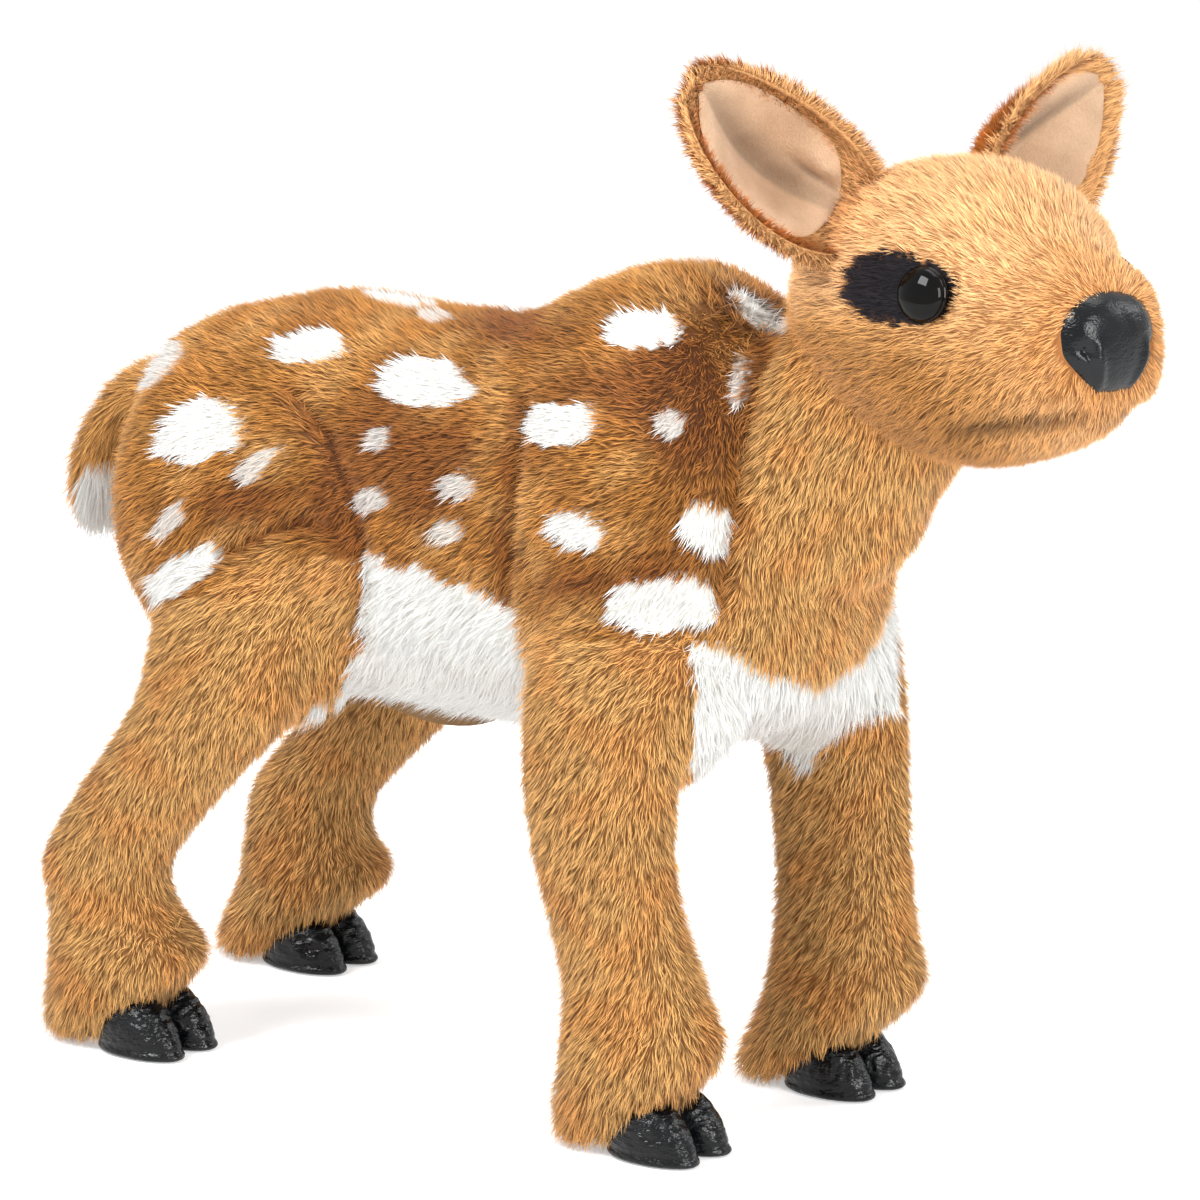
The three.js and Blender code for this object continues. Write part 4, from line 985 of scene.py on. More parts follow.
def tail_length(points):
    """The white underside has long hair that hangs below the tip."""
    under = step_between(points[:, 0], -168, -160)
    return 6.5 + 8.0 * under * step_between(-points[:, 2], -186, -168)


def tail_comb(points, normals):
    slope = step_between(-points[:, 0], 128, 160)[:, None]
    return np.array([-1.0, 0, -0.25]) * (1 - slope) + np.array([-0.35, 0, -1.0]) * slope


tail_points, tail_faces = closed_rings(curve_rings(TAIL_ROWS, 30, 36, PILE_DEPTH))
tail_skin, tail_pile = furred(
    "tail_plush", tail_points, tail_faces, tail_cloth, tail_comb, tail_length, even(TAIL_DENSITY), 76, along=2,
)
bend((tail_skin, tail_pile), TAIL_BEND_START, TAIL_BEND_END)
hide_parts("tail_top", "tail_underside")

# %% [markdown]
# ## The head
# The head is turned a little towards the camera, so it has a frame of its own: forwards along x from the middle of
# the skull. It is one form of rings, full at the cheeks and tapering to the muzzle, with hollows for the eyes, brows
# above them and a groove along the lips. Its hair is short and pale, and runs back from the nose.

# %% Head frame
HEAD_CENTRE = np.array([184.0, 0, 266])
HEAD_YAW, HEAD_ROLL = np.radians(-12), np.radians(-5)


def turned(axis, angle):
    """The matrix of a turn about one axis of the frame."""
    i, j = [k for k in range(3) if k != axis]
    m = np.eye(3)
    m[i, i] = m[j, j] = np.cos(angle)
    sign = -1 if axis == 1 else 1
    m[i, j], m[j, i] = -sign * np.sin(angle), sign * np.sin(angle)
    return m


head_turn = turned(2, HEAD_YAW) @ turned(0, HEAD_ROLL)


def from_head(points):
    return points @ head_turn.T + HEAD_CENTRE


def to_head(points):
    return (points - HEAD_CENTRE) @ head_turn


HEAD_ROWS = [
    [-66, 8, 10, -16], [-61, 24, 22, -26], [-48, 36, 34, -36], [-30, 44, 43, -43], [-10, 47, 46.5, -46],
    [9, 45, 43, -45.5], [26, 37.5, 33, -40.5], [39, 30.5, 26, -35], [48, 25.5, 20.5, -29.5],
    [54.5, 19, 14.5, -23], [57.5, 9, 5, -14],
]
HEAD_FULLNESS = 2.15
EYE_PLACE = np.array([12.5, 41.5, 9.5])
EYE_OUT = unit(np.array([0.22, 1, 0.12]))
JAW_PIVOT = np.array([14.0, 0, -31.0])
MOUTH_RISE = np.radians(14)
HEAD_PILE_DEPTH = 1.6
HEAD_DENSITY, HEAD_HAIR_WIDTH = 3.6, 0.34
LIPS_DEPTH, SEAM_DEPTH = 2.3, 0.8
# Hollows and rises of the face, alike on both sides: centre, reach along each axis and height
FACE_RELIEF = [
    (EYE_PLACE + [1, 0, 0], (11, 14, 9), -2.4), ((12, 36, 24), (14, 12, 8), 1.6), ((0, 44, -20), (20, 12, 14), 1.3),
    ((34, 24, 14), (10, 12, 10), -1.2), ((48, 18, -14), (12, 10, 9), 1.4), ((50, 17, 16), (9, 9, 9), 2.2),
    ((28, 27, 27), (14, 13, 11), -2.8),
]


def above_mouth(local):
    """Height over the plane in which the lips meet."""
    return (local[..., 2] - JAW_PIVOT[2]) * np.cos(MOUTH_RISE) - (local[..., 0] - JAW_PIVOT[0]) * np.sin(MOUTH_RISE)


def head_form(rings=110, sides=120):
    """Rings along the head's x, with soft hollows and rises laid on along the way out from its middle line."""
    x, w, top, bottom = smooth_rows(HEAD_ROWS, rings).T[..., None]
    c, s = oval(sides, HEAD_FULLNESS)
    middle = (top + bottom) / 2
    ring = np.stack([x + 0 * c, (w - HEAD_PILE_DEPTH) * c, middle + ((top - bottom) / 2 - HEAD_PILE_DEPTH) * s], -1)
    out = unit(np.stack([0.25 * x / 60 + 0 * c, c + 0 * x, s + 0 * x], -1))
    both = ring.copy()
    both[..., 1] = abs(both[..., 1])
    push = sum(
        height * bump(np.linalg.norm((both - np.array(at)) / np.array(reach), axis=-1), 1.0)
        for at, reach, height in FACE_RELIEF
    )
    push -= LIPS_DEPTH * bump(above_mouth(ring), 3.6) * step_between(ring[..., 0], 10, 24)
    push -= SEAM_DEPTH * bump(ring[..., 1], 1.5) * step_between(ring[..., 2], 18, 30)
    return ring + out * push[..., None]


head_local, head_faces = closed_rings(head_form())
lips_near = (abs(above_mouth(head_local)) < 0.75) & (head_local[:, 0] > JAW_PIVOT[0])
head_local[lips_near, 2] -= above_mouth(head_local)[lips_near] / np.cos(MOUTH_RISE)


def is_jaw(local):
    return (above_mouth(local) < 0) & (local[:, 0] > JAW_PIVOT[0] - 2)


# %% Head cloth and comb
NOSE_PLACE = np.array([47.6, -2.8, -1.0])


def eye_distance(local):
    """Distance from the eye as the head's side shows it, without y."""
    return np.linalg.norm(local * [1, 0, 1] - EYE_PLACE * [1, 0, 1], axis=1)


def head_cloth(points, normals=None):
    """Shares of the cloths of the face: a pale ground, redder at cheek and muzzle and darker there by painted shade,
    black at the eye, and black as painted shade along the lips.
    """
    local = to_head(points)
    x, y, z = local.T
    from_eye = local[:, [0, 2]] - EYE_PLACE[[0, 2]]
    patch = np.hypot((from_eye[:, 0] + 9.5) / 18.5, (from_eye[:, 1] - 0.5) / 10.6)
    patch = (patch < 1 + 0.10 * waves(points, 5, 40)) & (from_eye[:, 0] < 2 + 0.6 * from_eye[:, 1])
    rim = np.hypot(*from_eye.T) < 9.1
    black = (patch | rim) & (abs(y) > 22)
    # Painted shade in the groove of the lips, carried by the black
    lip_shade = bump(above_mouth(local), 2.0) * step_between(x, 12, 26) * step_between(-x, -56, -46)
    cheek = step_between(-z + 0.25 * abs(y), 0, 24) * step_between(-x, -58, -12)
    muzzle = bump(np.linalg.norm((local - NOSE_PLACE) / [20, 30, 26], axis=1), 1.0)
    pale = np.clip(0.9 - 0.9 * cheek - 0.8 * muzzle + 0.12 * waves(points, 14, 41), 0, 1)
    # Painted shade, carried by the deep brown: under the brow, beside the muzzle and below the eye
    below_eye = bump(np.linalg.norm((local * [1, 0, 1] - [30, 0, 6]) / [13, 1, 5], axis=1), 1.0)
    shade = 0.34 * below_eye + 0.56 * cheek + 0.24 * muzzle
    rust = np.clip(0.35 - 0.3 * cheek + muzzle, 0, 1)
    return {
        "deep": shade, "tan": (1 - 0.4 * cheek) * (1 - shade), "rust": rust * (1 - shade),
        "pale": pale * (1 - shade), "black": np.maximum(black, 0.6 * lip_shade),
    }


def head_comb(points, normals):
    """Back from the nose, and over the cheeks back and down."""
    local = to_head(points)
    x, y, z = local.T
    way = local - (NOSE_PLACE + [14, 0, 4])
    way[:, 2] -= 26 * step_between(-z, 0, 30) + 10
    return unit(way) @ head_turn.T


def head_length(points):
    """Shorter on the muzzle and round the eye, longer behind."""
    local = to_head(points)
    muzzle = step_between(local[:, 0], 10, 45)
    back = step_between(-local[:, 0], 0, 40)
    return (5.2 - 1.3 * muzzle + 1.0 * back) * (0.5 + 0.5 * step_between(eye_distance(local), 8, 17))


def head_density(points):
    """No pile under the nose or under the eyes."""
    local = to_head(points)
    nose = np.linalg.norm((local - NOSE_PLACE) / [14.5, 19.5, 16.5], axis=1)
    eye = eye_distance(local) < 6.6
    return HEAD_DENSITY * (nose > 0.97) * ~(eye & (abs(local[:, 1]) > 25))


def head_part(name, keep, seed, nodes):
    """The skin of the kept faces, and its pile in two halves, right and left."""
    local, faces = cut_out(head_local, head_faces, [keep(head_local[f].mean(1)) for f in head_faces])
    points = from_head(local)
    skin = plush_skin(name, points, faces, head_cloth(points))
    pieces = [skin]
    for label, half in (("_pile_right", -1), ("_pile_left", 1)):
        def density(p, half=half):
            return head_density(p) * (to_head(p)[:, 1] * half >= 0)
        pieces.append(grow_pile(
            name + label, points, faces, head_comb, head_length, density, head_cloth, seed + half,
            lift=0.36, width=HEAD_HAIR_WIDTH,
        ))
    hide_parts(*nodes)
    return pieces


head_pieces = head_part("head_plush", lambda c: ~is_jaw(c), 80, ["head_stuffing", "head_coat"])
jaw_pieces = head_part("jaw_plush", is_jaw, 85, ["jaw_stuffing", "jaw_coat"])
for piece in head_pieces:
    settle(piece, "pale_tan_plush", "head")
bend(
    jaw_pieces,
    from_head(JAW_PIVOT - [2, 0, 0]), from_head(JAW_PIVOT + [12, 0, 0]),
)

# %% [markdown]
# ## Inside the mouth
# Two pads of dark rose cloth line the mouth and close the head and the jaw where the lips meet. Each is a sheet on the
# lips' plane, as wide as the head is there.

# %% Palates
PALATE_INSET, PALATE_FRONT = 6.5, 51


def palate(lift, rows=26, columns=22):
    """Rows along x from the pivot to the lip, columns across; the edge follows the head's superellipse."""
    x = np.linspace(JAW_PIVOT[0] - 1, PALATE_FRONT, rows)
    w, top, bottom = form_at(HEAD_ROWS, x)
    z = JAW_PIVOT[2] + (x - JAW_PIVOT[0]) * np.tan(MOUTH_RISE)
    rise = np.clip(abs(z - (top + bottom) / 2) / ((top - bottom) / 2), 0, 0.999)
    half = np.maximum(w * (1 - rise**HEAD_FULLNESS) ** (1 / HEAD_FULLNESS) - PALATE_INSET, 0.5)
    t = np.linspace(-1, 1, columns)
    sag = lift * (1 + 1.5 * (1 - t**2))
    local = np.stack([x[:, None] + 0 * t, half[:, None] * t, z[:, None] + sag + 0 * x[:, None]], -1)
    return from_head(local.reshape(-1, 3)), [sheet_faces(rows, columns)]


mouth_finish = two_tones("mouth_cloth", 120.0, (colour(96, 52, 42), colour(120, 68, 56)), 0.9, 900.0, 0.0002)
for name, lift, body in (("upper_palate", 0.5, "head"), ("lower_palate", -0.5, "jaw")):
    settle(new_piece(name + "_cloth", *palate(lift), mouth_finish), "mouth_cloth", body, name)

# %% [markdown]
# ## Ears
# An ear is a cupped leaf: plush outside, which rolls over the rim, and velvet inside. The leaf is a surface of two
# parameters, along the ear and across it, hollow in the middle. The plush is a closed form between two such
# surfaces, and the velvet is a third one in front, pulled in from the rim.

# %% Ear leaf
EAR_ROOT = np.array([-26.4, 31.0, 29.4])
EAR_LENGTH, EAR_HALF_WIDTH, EAR_ROOT_WIDTH, EAR_TAPER = 68.0, 16.6, 0.17, 0.25
EAR_LOWER_EDGE, EAR_BLUNTNESS, EAR_CUP = 1.5, 0.36, 19.0
EAR_SWEEP, EAR_FACING = np.radians(23), np.radians(-10)
# The left ear hangs a little lower than the right
EAR_LEAN = {-1: np.radians(53), 1: np.radians(55)}
EAR_FOLD, EAR_FOLD_AT = 4.0, 0.06
VELVET_START, VELVET_END, VELVET_INSET = 0.04, 0.95, 2.0
RIM_LIP, RIM_BACK = 1.4, 3.2
EAR_DENSITY, EAR_HAIR_LENGTH, EAR_HAIR_WIDTH, EAR_SKIN_TIP = 4.2, 4.6, 0.36, 0.8

ear_turn = {side: turned(2, EAR_FACING) @ turned(0, -lean) @ turned(1, -EAR_SWEEP) for side, lean in EAR_LEAN.items()}


def ear_half_width(s):
    """W·(1.05 − taper·s)·sin(π(r + (1 − r)·0.985s)) to the bluntness, r being half the root's share."""
    start = EAR_ROOT_WIDTH / 2
    leaf = np.sin(np.pi * (start + (1 - start) * s * 0.985)) ** EAR_BLUNTNESS
    return EAR_HALF_WIDTH * (1.05 - EAR_TAPER * s) * leaf


def ear_surface(s, t):
    """The hollow is the cup times 1 − t², and a fold runs up its middle."""
    half = ear_half_width(s)
    cup = EAR_CUP * np.sin(np.pi * np.minimum(0.25 + 0.75 * s, 0.97)) * half / EAR_HALF_WIDTH
    fold = EAR_FOLD * bump(t - EAR_FOLD_AT, 0.2) * np.sin(np.pi * np.clip(s, 0, 1))
    y = half * t * np.where(t > 0, EAR_LOWER_EDGE, 1)
    hollow, y, reach = np.broadcast_arrays(-cup * (1 - t**2) - fold, y, EAR_LENGTH * s)
    return np.stack([hollow, y, reach], -1)


def ear_grid(rows, columns, first, last, share=lambda s: 1.0):
    """A grid over the leaf, and the way out of the bowl at each point: the cross of the ways across and along."""
    s = np.linspace(first, last, rows)[:, None]
    t = np.linspace(-1, 1, columns)[None] * share(s)
    points = ear_surface(s, t)
    return s, t, points, unit(np.cross(np.gradient(points, axis=1), np.gradient(points, axis=0)))


def velvet_share(s):
    """The share of the half width that the velvet covers: an inset from the rim, rounded at both ends."""
    along = np.clip((s - VELVET_START) / (VELVET_END - VELVET_START), 0.012, 0.988)
    return (1 - VELVET_INSET / ear_half_width(s)) * (1 - abs(2 * along - 1) ** 5) ** 0.5


def ear_to_toy(local, side):
    head = local @ ear_turn[side].T + EAR_ROOT
    return from_head(head * [1, side, 1])


def ear_shell(side, rings=52, columns=36):
    """A ring at each height goes up the face and down the back, thick at the rim, where the plush rolls over.
    Gives the points, the faces, and the faces that carry pile: those that the velvet doesn't cover."""
    s, t, middle, out = ear_grid(rings, columns, 0.0, 1.0)
    rim = np.maximum(abs(t) ** 6, s**12)
    face = middle + out * (RIM_LIP * rim - 1.8)[..., None]
    rear = middle - out * (RIM_BACK + 0.8 * (1 - rim))[..., None]
    points, faces = closed_rings(np.concatenate([face, rear[:, ::-1]], 1))
    inside_s = (s > VELVET_START + 0.015) & (s < VELVET_END - 0.015)
    covered = np.zeros((rings, 2 * columns), bool)
    covered[:, :columns] = inside_s & (abs(t) < velvet_share(s) - 0.09)
    covered = (covered[:-1] & covered[1:]).ravel()
    points = ear_to_toy(points, side)
    faces = facing_out(points, faces)
    return points, faces, [faces[0][~covered], *faces[1:]]


def ear_lining(side, rows=60, columns=44):
    """The velvet, with a lip at its lower inner corner; dark where the fold shades it."""
    s, t, middle, out = ear_grid(rows, columns, VELVET_START, VELVET_END, velvet_share)
    along = (s - VELVET_START) / (VELVET_END - VELVET_START)
    edge = np.maximum(abs(t / velvet_share(s)) ** 10, abs(2 * along - 1) ** 24)
    lip = bump(np.hypot((s - 0.17) / 0.11, (t + 0.60) / 0.15), 1.0)
    crease = bump(np.hypot((s - 0.19) / 0.13, (t + 0.34) / 0.07), 1.0)
    local = middle + out * (0.3 - 1.0 * edge + 2.4 * lip - 1.4 * crease)[..., None]
    # Painted shade along the fold and in the crease beside the lip
    fold = step_between(t, -0.62, 0.02) * (1 - step_between(t, 0.05, 0.17))
    fold = fold * np.sin(np.pi * np.clip(s * 1.02, 0, 1)) ** 0.5
    points = ear_to_toy(local.reshape(-1, 3), side)
    return points, [sheet_faces(rows, columns)], np.maximum(fold, 0.9 * crease).ravel()


def ear_axes(side):
    """The way to the tip and the way out of the bowl, in the toy's frame."""
    tip = head_turn @ (ear_turn[side] @ np.array([0, 0, 1.0]) * [1, side, 1])
    bowl = head_turn @ (ear_turn[side] @ np.array([1.0, 0, 0]) * [1, side, 1])
    return tip, bowl


def velvet():
    finish = Finish("ear_velvet")
    nap = finish.noise(1400.0, 2.0)
    cloud = finish.noise(60.0, 3.0)
    tone = finish.mix(finish.between(cloud, 0.3, 0.7), colour(192, 159, 128), colour(218, 185, 153))
    tone = finish.shaded(tone, 0.84 + 0.30 * nap)
    # Painted shade where the hollow value is high: the ear's fold and crease
    tone = finish.mix(finish.attribute("hollow"), tone, finish.shaded(tone, 0.44))
    return finish.surface(
        Base_Color=tone, Roughness=0.85, Sheen_Weight=0.35, Sheen_Roughness=0.35,
        Normal=finish.bumped(nap, 0.0003),
    )


def ear_cloth(points, normals=None):
    ones = np.ones(len(points))
    return {"tan": ones, "rust": 0.5 * ones, "pale": 0.5 * ones}


velvet_finish = velvet()
for side, label in ((-1, "right"), (1, "left")):
    tip, bowl = ear_axes(side)
    points, faces, outside = ear_shell(side)
    middle = ear_to_toy(np.array([[-8.0, 2.0, EAR_LENGTH * 0.5]]), side)[0]

    def ear_comb(p, n, tip=tip, bowl=bowl, middle=middle):
        """Outward from the ear's middle and on to its tip."""
        return unit(p - middle) + 0.45 * tip + 0.2 * bowl

    skin = plush_skin("ear_plush_" + label, points, faces, ear_cloth(points), EAR_SKIN_TIP)
    hairs = grow_pile(
        "ear_plush_" + label + "_pile", points, outside, ear_comb, even(EAR_HAIR_LENGTH), even(EAR_DENSITY),
        ear_cloth, 90 + side, lift=0.7, width=EAR_HAIR_WIDTH, along=2,
    )
    points, faces, hollow = ear_lining(side)
    if np.mean(point_normals(points, faces) @ bowl) < 0:
        faces = [f[:, ::-1] for f in faces]
    inner = new_piece("ear_velvet_" + label, points, faces, velvet_finish, None, {"hollow": hollow})
    settle(skin, "pale_tan_plush", "ear_" + label, "ear_back_" + label)
    settle(hairs, "pale_tan_plush", "ear_" + label)
    settle(inner, "velvet", "ear_" + label, "ear_lining_" + label)

# %% [markdown]
# ## Eyes and nose
# The eyes are glossy black domes with a thin rim, pressed into the plush. The nose is stuffed vinyl: a rounded
# cushion, broad at the top, with a nostril on each side, a slit below each and small wrinkles where the skin is
# gathered.

# %% Vinyl and resin
def black_vinyl(name, gathers):
    """Soft shine, broken by fine grain and by level gathers of the height given."""
    finish = Finish(name)
    grain = finish.noise(1500.0, 2.0)
    folds = finish.noise(330.0, 2.0, (1, 1, 2.4))
    scuffs = finish.between(finish.noise(55.0, 4.0), 0.35, 0.75)
    tone = finish.mix(scuffs, colour(6, 7, 9), colour(17, 19, 22))
    height = finish.node("ShaderNodeMath", {"operation": "MULTIPLY_ADD"}, {0: folds, 1: gathers, 2: grain * 0.3})
    return finish.surface(
        Base_Color=tone, Roughness=0.15 + 0.12 * scuffs, Specular_IOR_Level=0.28,
        Normal=finish.bumped(height, 0.0004),
    )


def eye_resin():
    finish = Finish("eye_resin")
    depth = finish.mix(finish.between(finish.noise(40.0), 0.3, 0.7), colour(4, 4, 4), colour(12, 8, 6))
    return finish.surface(Base_Color=depth, Roughness=0.03, Specular_IOR_Level=0.15)


hoof_finish = black_vinyl("hoof_vinyl", 1.5)
nose_finish = black_vinyl("nose_vinyl", 0.5)
resin_finish = eye_resin()


# %% Eyes
EYE_RADIUS, EYE_BULGE, EYE_SINK = 8.2, 4.0, 0.6


def dome(radius, bulge, profile_steps=26, sides=48):
    """Profile turned about y: back disc, a thin rim, then a dome of cosine by sine."""
    angle = np.linspace(0, np.pi / 2, profile_steps)
    rim = [0.4, radius * 0.9, radius + 0.3, radius + 0.5, radius + 0.3, radius]
    r = np.concatenate([rim, radius * np.cos(angle[1:-1])])
    y = np.concatenate([[-2.4, -2.4, -1.6, -0.6, 0.1, 0.2], 0.2 + bulge * np.sin(angle[1:-1])])
    turn = whole_turn(sides)
    return np.stack([r[:, None] * np.cos(turn), y[:, None] + 0 * turn, r[:, None] * np.sin(turn)], -1)


def toward(direction):
    """A frame whose y looks along the direction."""
    y = unit(np.asarray(direction, float))
    x = unit(np.cross(y, [0, 0, 1]))
    return np.stack([x, y, np.cross(x, y)], 1)


for side, label in ((-1, "right"), (1, "left")):
    local, faces = closed_rings(dome(EYE_RADIUS, EYE_BULGE))
    local = (local @ toward(EYE_OUT).T + EYE_PLACE - EYE_SINK * EYE_OUT) * [1, side, 1]
    points = from_head(local)
    eye = new_piece("eye_dome_" + label, points, facing_out(points, faces), resin_finish)
    settle(eye, "eye_resin", "head", "eye_" + label)


# %% Nose
NOSE_RADII = 13.6, 18.2, 16.6
NOSE_SQUARENESS = 2.5


def nose_form(rings=70, sides=90):
    """An ellipsoid, squarer across and narrower below, with a dent for each nostril and a slit below it."""
    polar = np.linspace(0.02, np.pi - 0.02, rings)[:, None]
    turn = whole_turn(sides)[None]
    x = np.cos(polar) + 0 * turn
    y, z = np.sin(polar) * np.cos(turn), np.sin(polar) * np.sin(turn)
    flat = sum(abs(way) ** NOSE_SQUARENESS for way in (x, y, z)) ** (-1 / NOSE_SQUARENESS)
    x, y, z = x * flat, y * flat, z * flat
    narrow = 1 - 0.24 * step_between(-z, 0.1, 0.95)
    place = np.stack([x, y * narrow, z], -1) * NOSE_RADII
    away, height = abs(place[..., 1]), place[..., 2]
    front = step_between(x, 0.05, 0.4)
    nostril = bump(np.hypot((away - 13.2) / 2.3, (height + 0.6) / 1.8), 1.0)
    along_slit = np.clip((-1.0 - height) / 13.5, 0, 1)
    slit = bump(away - (12.6 - 5.4 * along_slit), 0.8) * (height < -0.5) * (1 - 0.4 * along_slit)
    flap = bump(away - (10.2 - 3.6 * along_slit), 2.0) * step_between(-height, -4, 1)
    wrinkle = waves(place.reshape(-1, 3) * [1, 0.7, 1.6], 5.0, 50).reshape(x.shape) * step_between(height, -2, 6)
    place[..., 0] -= front * (1.8 * nostril + 1.3 * slit - 1.3 * flap)
    return place * (1 + 0.004 * wrinkle)[..., None] + NOSE_PLACE


local, faces = closed_rings(nose_form())
points = from_head(local)
settle(new_piece("nose_vinyl", points, facing_out(points, faces), nose_finish), "black_vinyl", "head", "nose")

# %% [markdown]
# ## Hooves
# Each foot ends in a cloven hoof of black vinyl, one stuffed form with two fat lobes in front and a round heel
# under the fur. The lobes and the heel are rings going up, put together, remeshed and smoothed, so that the cleft
# is deep only in front. A welt runs round the sole, and the vinyl is gathered above it.

# %% Hooves
HOOF_FORWARD = 17
TOE_HALF_LENGTH, TOE_HALF_WIDTH, TOE_HEIGHT, TOE_SPACING, TOE_LEAN = 16.5, 8.6, 21.5, 16.5, 6.0
HEEL_HALF_LENGTH, HEEL_HALF_WIDTH, HEEL_HEIGHT, HEEL_BACK = 10.5, 15.0, 24.0, 7.5
HOOF_VOXEL, HOOF_SMOOTHING = 0.8, 5


def stuffed_rings(half_length, half_width, height, lean, rings=30, sides=44):
    """Rings going up: the sizes fall as the top rounds over, and the middle leans back."""
    s = np.linspace(0, 1, rings)[:, None]
    c, d = oval(sides, 2.2)
    top = np.sqrt(np.clip(1 - np.clip((s - 0.3) / 0.7, 0, 1) ** 2.2, 0.015, 1))
    sole = 0.92 + 0.08 * step_between(s, 0.0, 0.1)
    x = half_length * (1 - 0.22 * s**1.4) * top * sole * c - lean * s
    y = half_width * top * sole * d * (1 - 0.12 * np.clip(c, 0, 1) ** 2)
    return np.stack([x, y, 0.25 + height * s + 0 * c], -1)


def hoof_form(seed):
    """Two lobes and a heel as one skin, with a welt at the sole and cross gathers."""
    parts = [stuffed_rings(HEEL_HALF_LENGTH, HEEL_HALF_WIDTH, HEEL_HEIGHT, 0.0) - [HEEL_BACK, 0, 0]]
    for toe in (-1, 1):
        rings = stuffed_rings(TOE_HALF_LENGTH, TOE_HALF_WIDTH, TOE_HEIGHT, TOE_LEAN)
        parts.append(rings + [0, toe * TOE_SPACING / 2, 0])
    points, quads = remeshed("hoof", *joined([closed_rings(p) for p in parts]), HOOF_VOXEL, HOOF_SMOOTHING)
    out = point_normals(points, [quads])
    z = points[:, 2]
    welt = 0.5 * bump(z - 1.4, 1.0) - 0.55 * bump(z - 3.6, 0.8)
    gather = 0.20 * waves(points * [1.8, 0.5, 1.8], 6.0, seed) * step_between(z, 4, 8)
    points = points + out * [1, 1, 0.2] * welt[:, None] + out * gather[:, None]
    points[:, 2] = np.maximum(points[:, 2], 0.1)
    return points, quads


for k, (name, leg) in enumerate(LEGS.items()):
    _, foot_x, _, half_width, inner = leg["rows"][-2]
    across = leg["side"] * (HIP_FACE + inner + half_width + leg["spread"])
    centre = np.array([foot_x + leg["stride"] + HOOF_FORWARD, across, 0])
    points, quads = hoof_form(100 + k)
    hoof = new_piece("hoof_vinyl_" + name, points + centre, facing_out(points, [quads]), hoof_finish)
    settle(hoof, "black_vinyl", "leg_" + name, "hoof_" + name)

# %% [markdown]
# ## The hand's way in
# Under the belly a bound opening leads into a sleeve of brown lining, through the chest and the neck to a pocket
# for the fingers in the head and one for the thumb in the jaw. The sleeve is a tube along a curve, seen only from
# below.

# %% Sleeve, pockets and hem
PASSAGE_ROWS = [
    [-31, 122, 29, 28], [-25, 134, 29, 27], [-8, 147, 28.5, 26], [24, 156, 28, 25], [56, 162, 27.5, 24.5],
    [84, 175, 26, 24], [108, 199, 25, 23],
]
FINGER_ROWS = [[-34, -20, 22, 17], [-12, -8, 22, 15], [10, -3, 19, 12], [30, -2, 13, 9]]
THUMB_ROWS = [[-10, -37.4, 10, 4.3], [12, -37, 9, 4.2], [20, -35, 7.5, 3.8], [30, -31.9, 5, 2.9]]
NECK_BORE = 22.6
HEM_HALF_WIDTH, HEM_HALF_HEIGHT, HEM_RISE = 2.6, 1.6, 4.8
LINING_TONES = (colour(132, 98, 62), colour(160, 124, 84))
lining_finish = two_tones("lining_cloth", 90.0, LINING_TONES, 0.92, 700.0, 0.0003, (1, 1, 3))


def lining_piece(name, rings, body, replaced, placed=lambda p: p, closed=False):
    """A tube of lining with its faces turned to the inside of the passage."""
    count, sides, _ = rings.shape
    points = rings.reshape(-1, 3)
    faces = [around(count, sides)]
    if closed:
        points, faces = closed_rings(rings)
        faces = [faces[0], faces[2]]
    settle(new_piece(name, placed(points), faces, lining_finish), "lining_cloth", body, replaced)


lining_piece("sleeve_lining", curve_rings(PASSAGE_ROWS, 40, 40, 0.3, 2.2), "torso", "hand_sleeve")
bore = [[*(NECK_BASE + neck_axis * at)[[0, 2]], NECK_BORE, NECK_BORE] for at in (-30, 0, 30, 63, 90)]
lining_piece("neck_lining", curve_rings(bore, 20, 40, 0.3), "neck", "neck_sleeve")
lining_piece("finger_lining", curve_rings(FINGER_ROWS, 20, 30, 0.3, 2.2), "head", "finger_pocket", from_head, True)
lining_piece("thumb_lining", curve_rings(THUMB_ROWS, 16, 24, 0.2, 2.2), "jaw", "thumb_pocket", from_head, True)


def hem_ring(sides=72, around_hem=14):
    """A rolled band: a small oval carried round the opening's edge, at the height of the belly there."""
    angle = whole_turn(sides)
    x = HAND_OPENING["x"] + HAND_OPENING["long"] * np.cos(angle)
    y = HAND_OPENING["wide"] * np.sin(angle)
    w, top, bottom = form_at(TORSO_ROWS, x)
    drop = (1 - (abs(y) / w) ** TORSO_FULLNESS) ** (1 / TORSO_FULLNESS)
    z = (top + bottom) / 2 - (top - bottom) / 2 * drop
    out = np.stack([np.cos(angle), np.sin(angle), 0 * angle], -1)[:, None]
    turn = whole_turn(around_hem)[None, :, None]
    ring = out * HEM_HALF_WIDTH * np.cos(turn) + np.array([0, 0, 1]) * HEM_HALF_HEIGHT * np.sin(turn)
    return np.stack([x, y, z + HEM_RISE], -1)[:, None] + ring


hem_rings = hem_ring()
count, sides, _ = hem_rings.shape
hem_points, hem_faces = hem_rings.reshape(-1, 3), around(count + 1, sides) % (count * sides)
hem = new_piece("opening_binding", hem_points, facing_out(hem_points, [hem_faces]), lining_finish)
settle(hem, "lining_cloth", "torso", "opening_hem")

# %% Washers
washer_finish = two_tones("washer_plastic", 300.0, (colour(205, 205, 200), colour(222, 222, 218)), 0.45)
for label in ("right", "left"):
    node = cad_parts["eye_washer_" + label]
    node.data.materials.clear()
    node.data.materials.append(washer_finish)

# %% [markdown]
# ## Floor and light
# A plain white sweep and soft studio light. The camera sees the floor and the world as white, while the toy is lit
# at a plain level by a large lamp above on the left, weaker ones on the right and overhead and the pale world, so its
# colours come out as written. A small lamp behind on the right draws highlights on the nose and hooves. The floor
# keeps the toy's soft shadow.

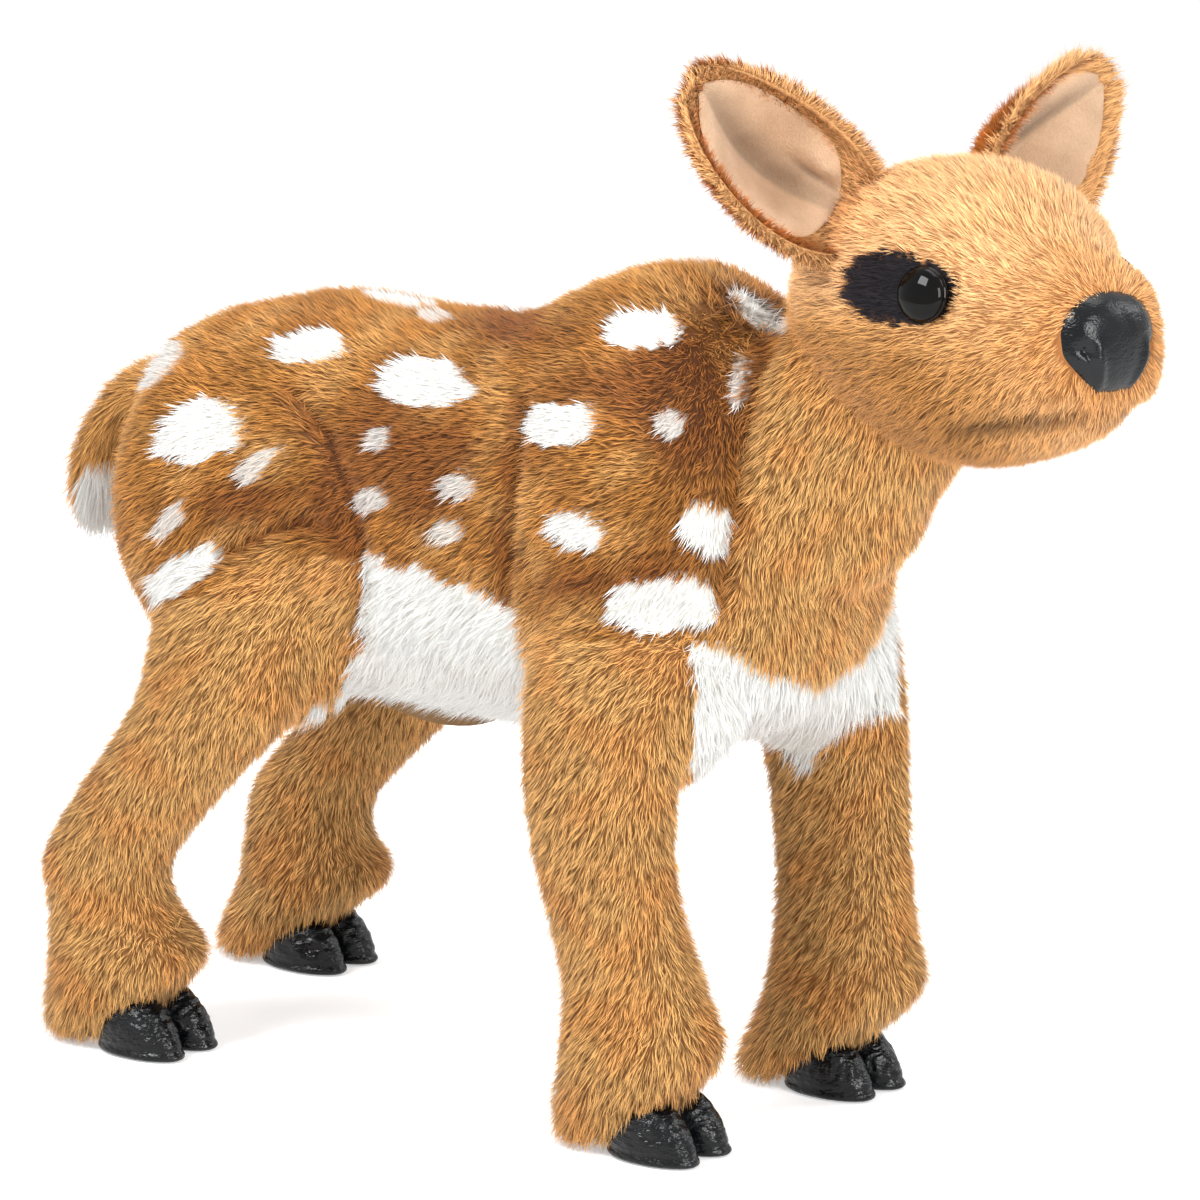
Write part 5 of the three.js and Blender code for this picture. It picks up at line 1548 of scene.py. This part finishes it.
# %% Floor
FLOOR_SIDE = 3.2
FLOOR_GLOW, WORLD_STRENGTH = 0.45, 0.36
PLAIN_WHITE = (1.0, 1.0, 1.0, 1.0)


def studio_white(glow):
    """A pale matt floor, to which camera, glossy and transmitted rays add a little glow, so that it is white where
    nothing shades it and still keeps the shadow."""
    finish = Finish("studio_floor")
    tone = finish.mix(finish.noise(3.0), colour(246, 246, 246), colour(250, 250, 250))
    matt = finish.node("ShaderNodeBsdfDiffuse", {}, {"Color": tone})
    light = finish.node("ShaderNodeEmission", {}, {"Color": PLAIN_WHITE, "Strength": finish.seen() * glow})
    return finish.show(finish.node("ShaderNodeAddShader", {}, {0: matt, 1: light}))


floor_corner = np.array([[-1, -1, 0], [1, -1, 0], [1, 1, 0], [-1, 1, 0]]) * FLOOR_SIDE * 500
floor = new_piece("floor", floor_corner + STANDING_CENTRE, [np.array([[0, 1, 2, 3]])], studio_white(FLOOR_GLOW))


# %% World and lamps
def world_light(strength):
    """A pale world for light, and plain white for the camera, glossy and transmitted rays."""
    sky = Finish("studio", "worlds", "ShaderNodeOutputWorld")
    light, white = (
        sky.node("ShaderNodeBackground", {}, {"Color": PLAIN_WHITE, "Strength": level}) for level in (strength, 1.0)
    )
    bpy.context.scene.world = sky.show(sky.node("ShaderNodeMixShader", {}, {0: sky.seen(), 1: light, 2: white}))


def soft_lamp(name, place, size, power, aim=(0.0, 0.0, 0.16)):
    data = bpy.data.lights.new(name, "AREA")
    data.shape, data.size, data.size_y, data.energy = "RECTANGLE", size[0], size[1], power
    lamp = bpy.data.objects.new(name, data)
    bpy.context.scene.collection.objects.link(lamp)
    lamp.location = place
    lamp.rotation_euler = (Vector(place) - Vector(aim)).to_track_quat("Z", "Y").to_euler()


world_light(WORLD_STRENGTH)
soft_lamp("key", (-0.4, -1.5, 1.65), (0.85, 0.85), 43)
soft_lamp("fill", (1.6, -0.7, 0.8), (0.6, 0.9), 22)
soft_lamp("top", (0.1, 0.4, 1.9), (1.2, 0.9), 12)
soft_lamp("rim", (1.2, 1.4, 1.25), (0.6, 0.8), 9)
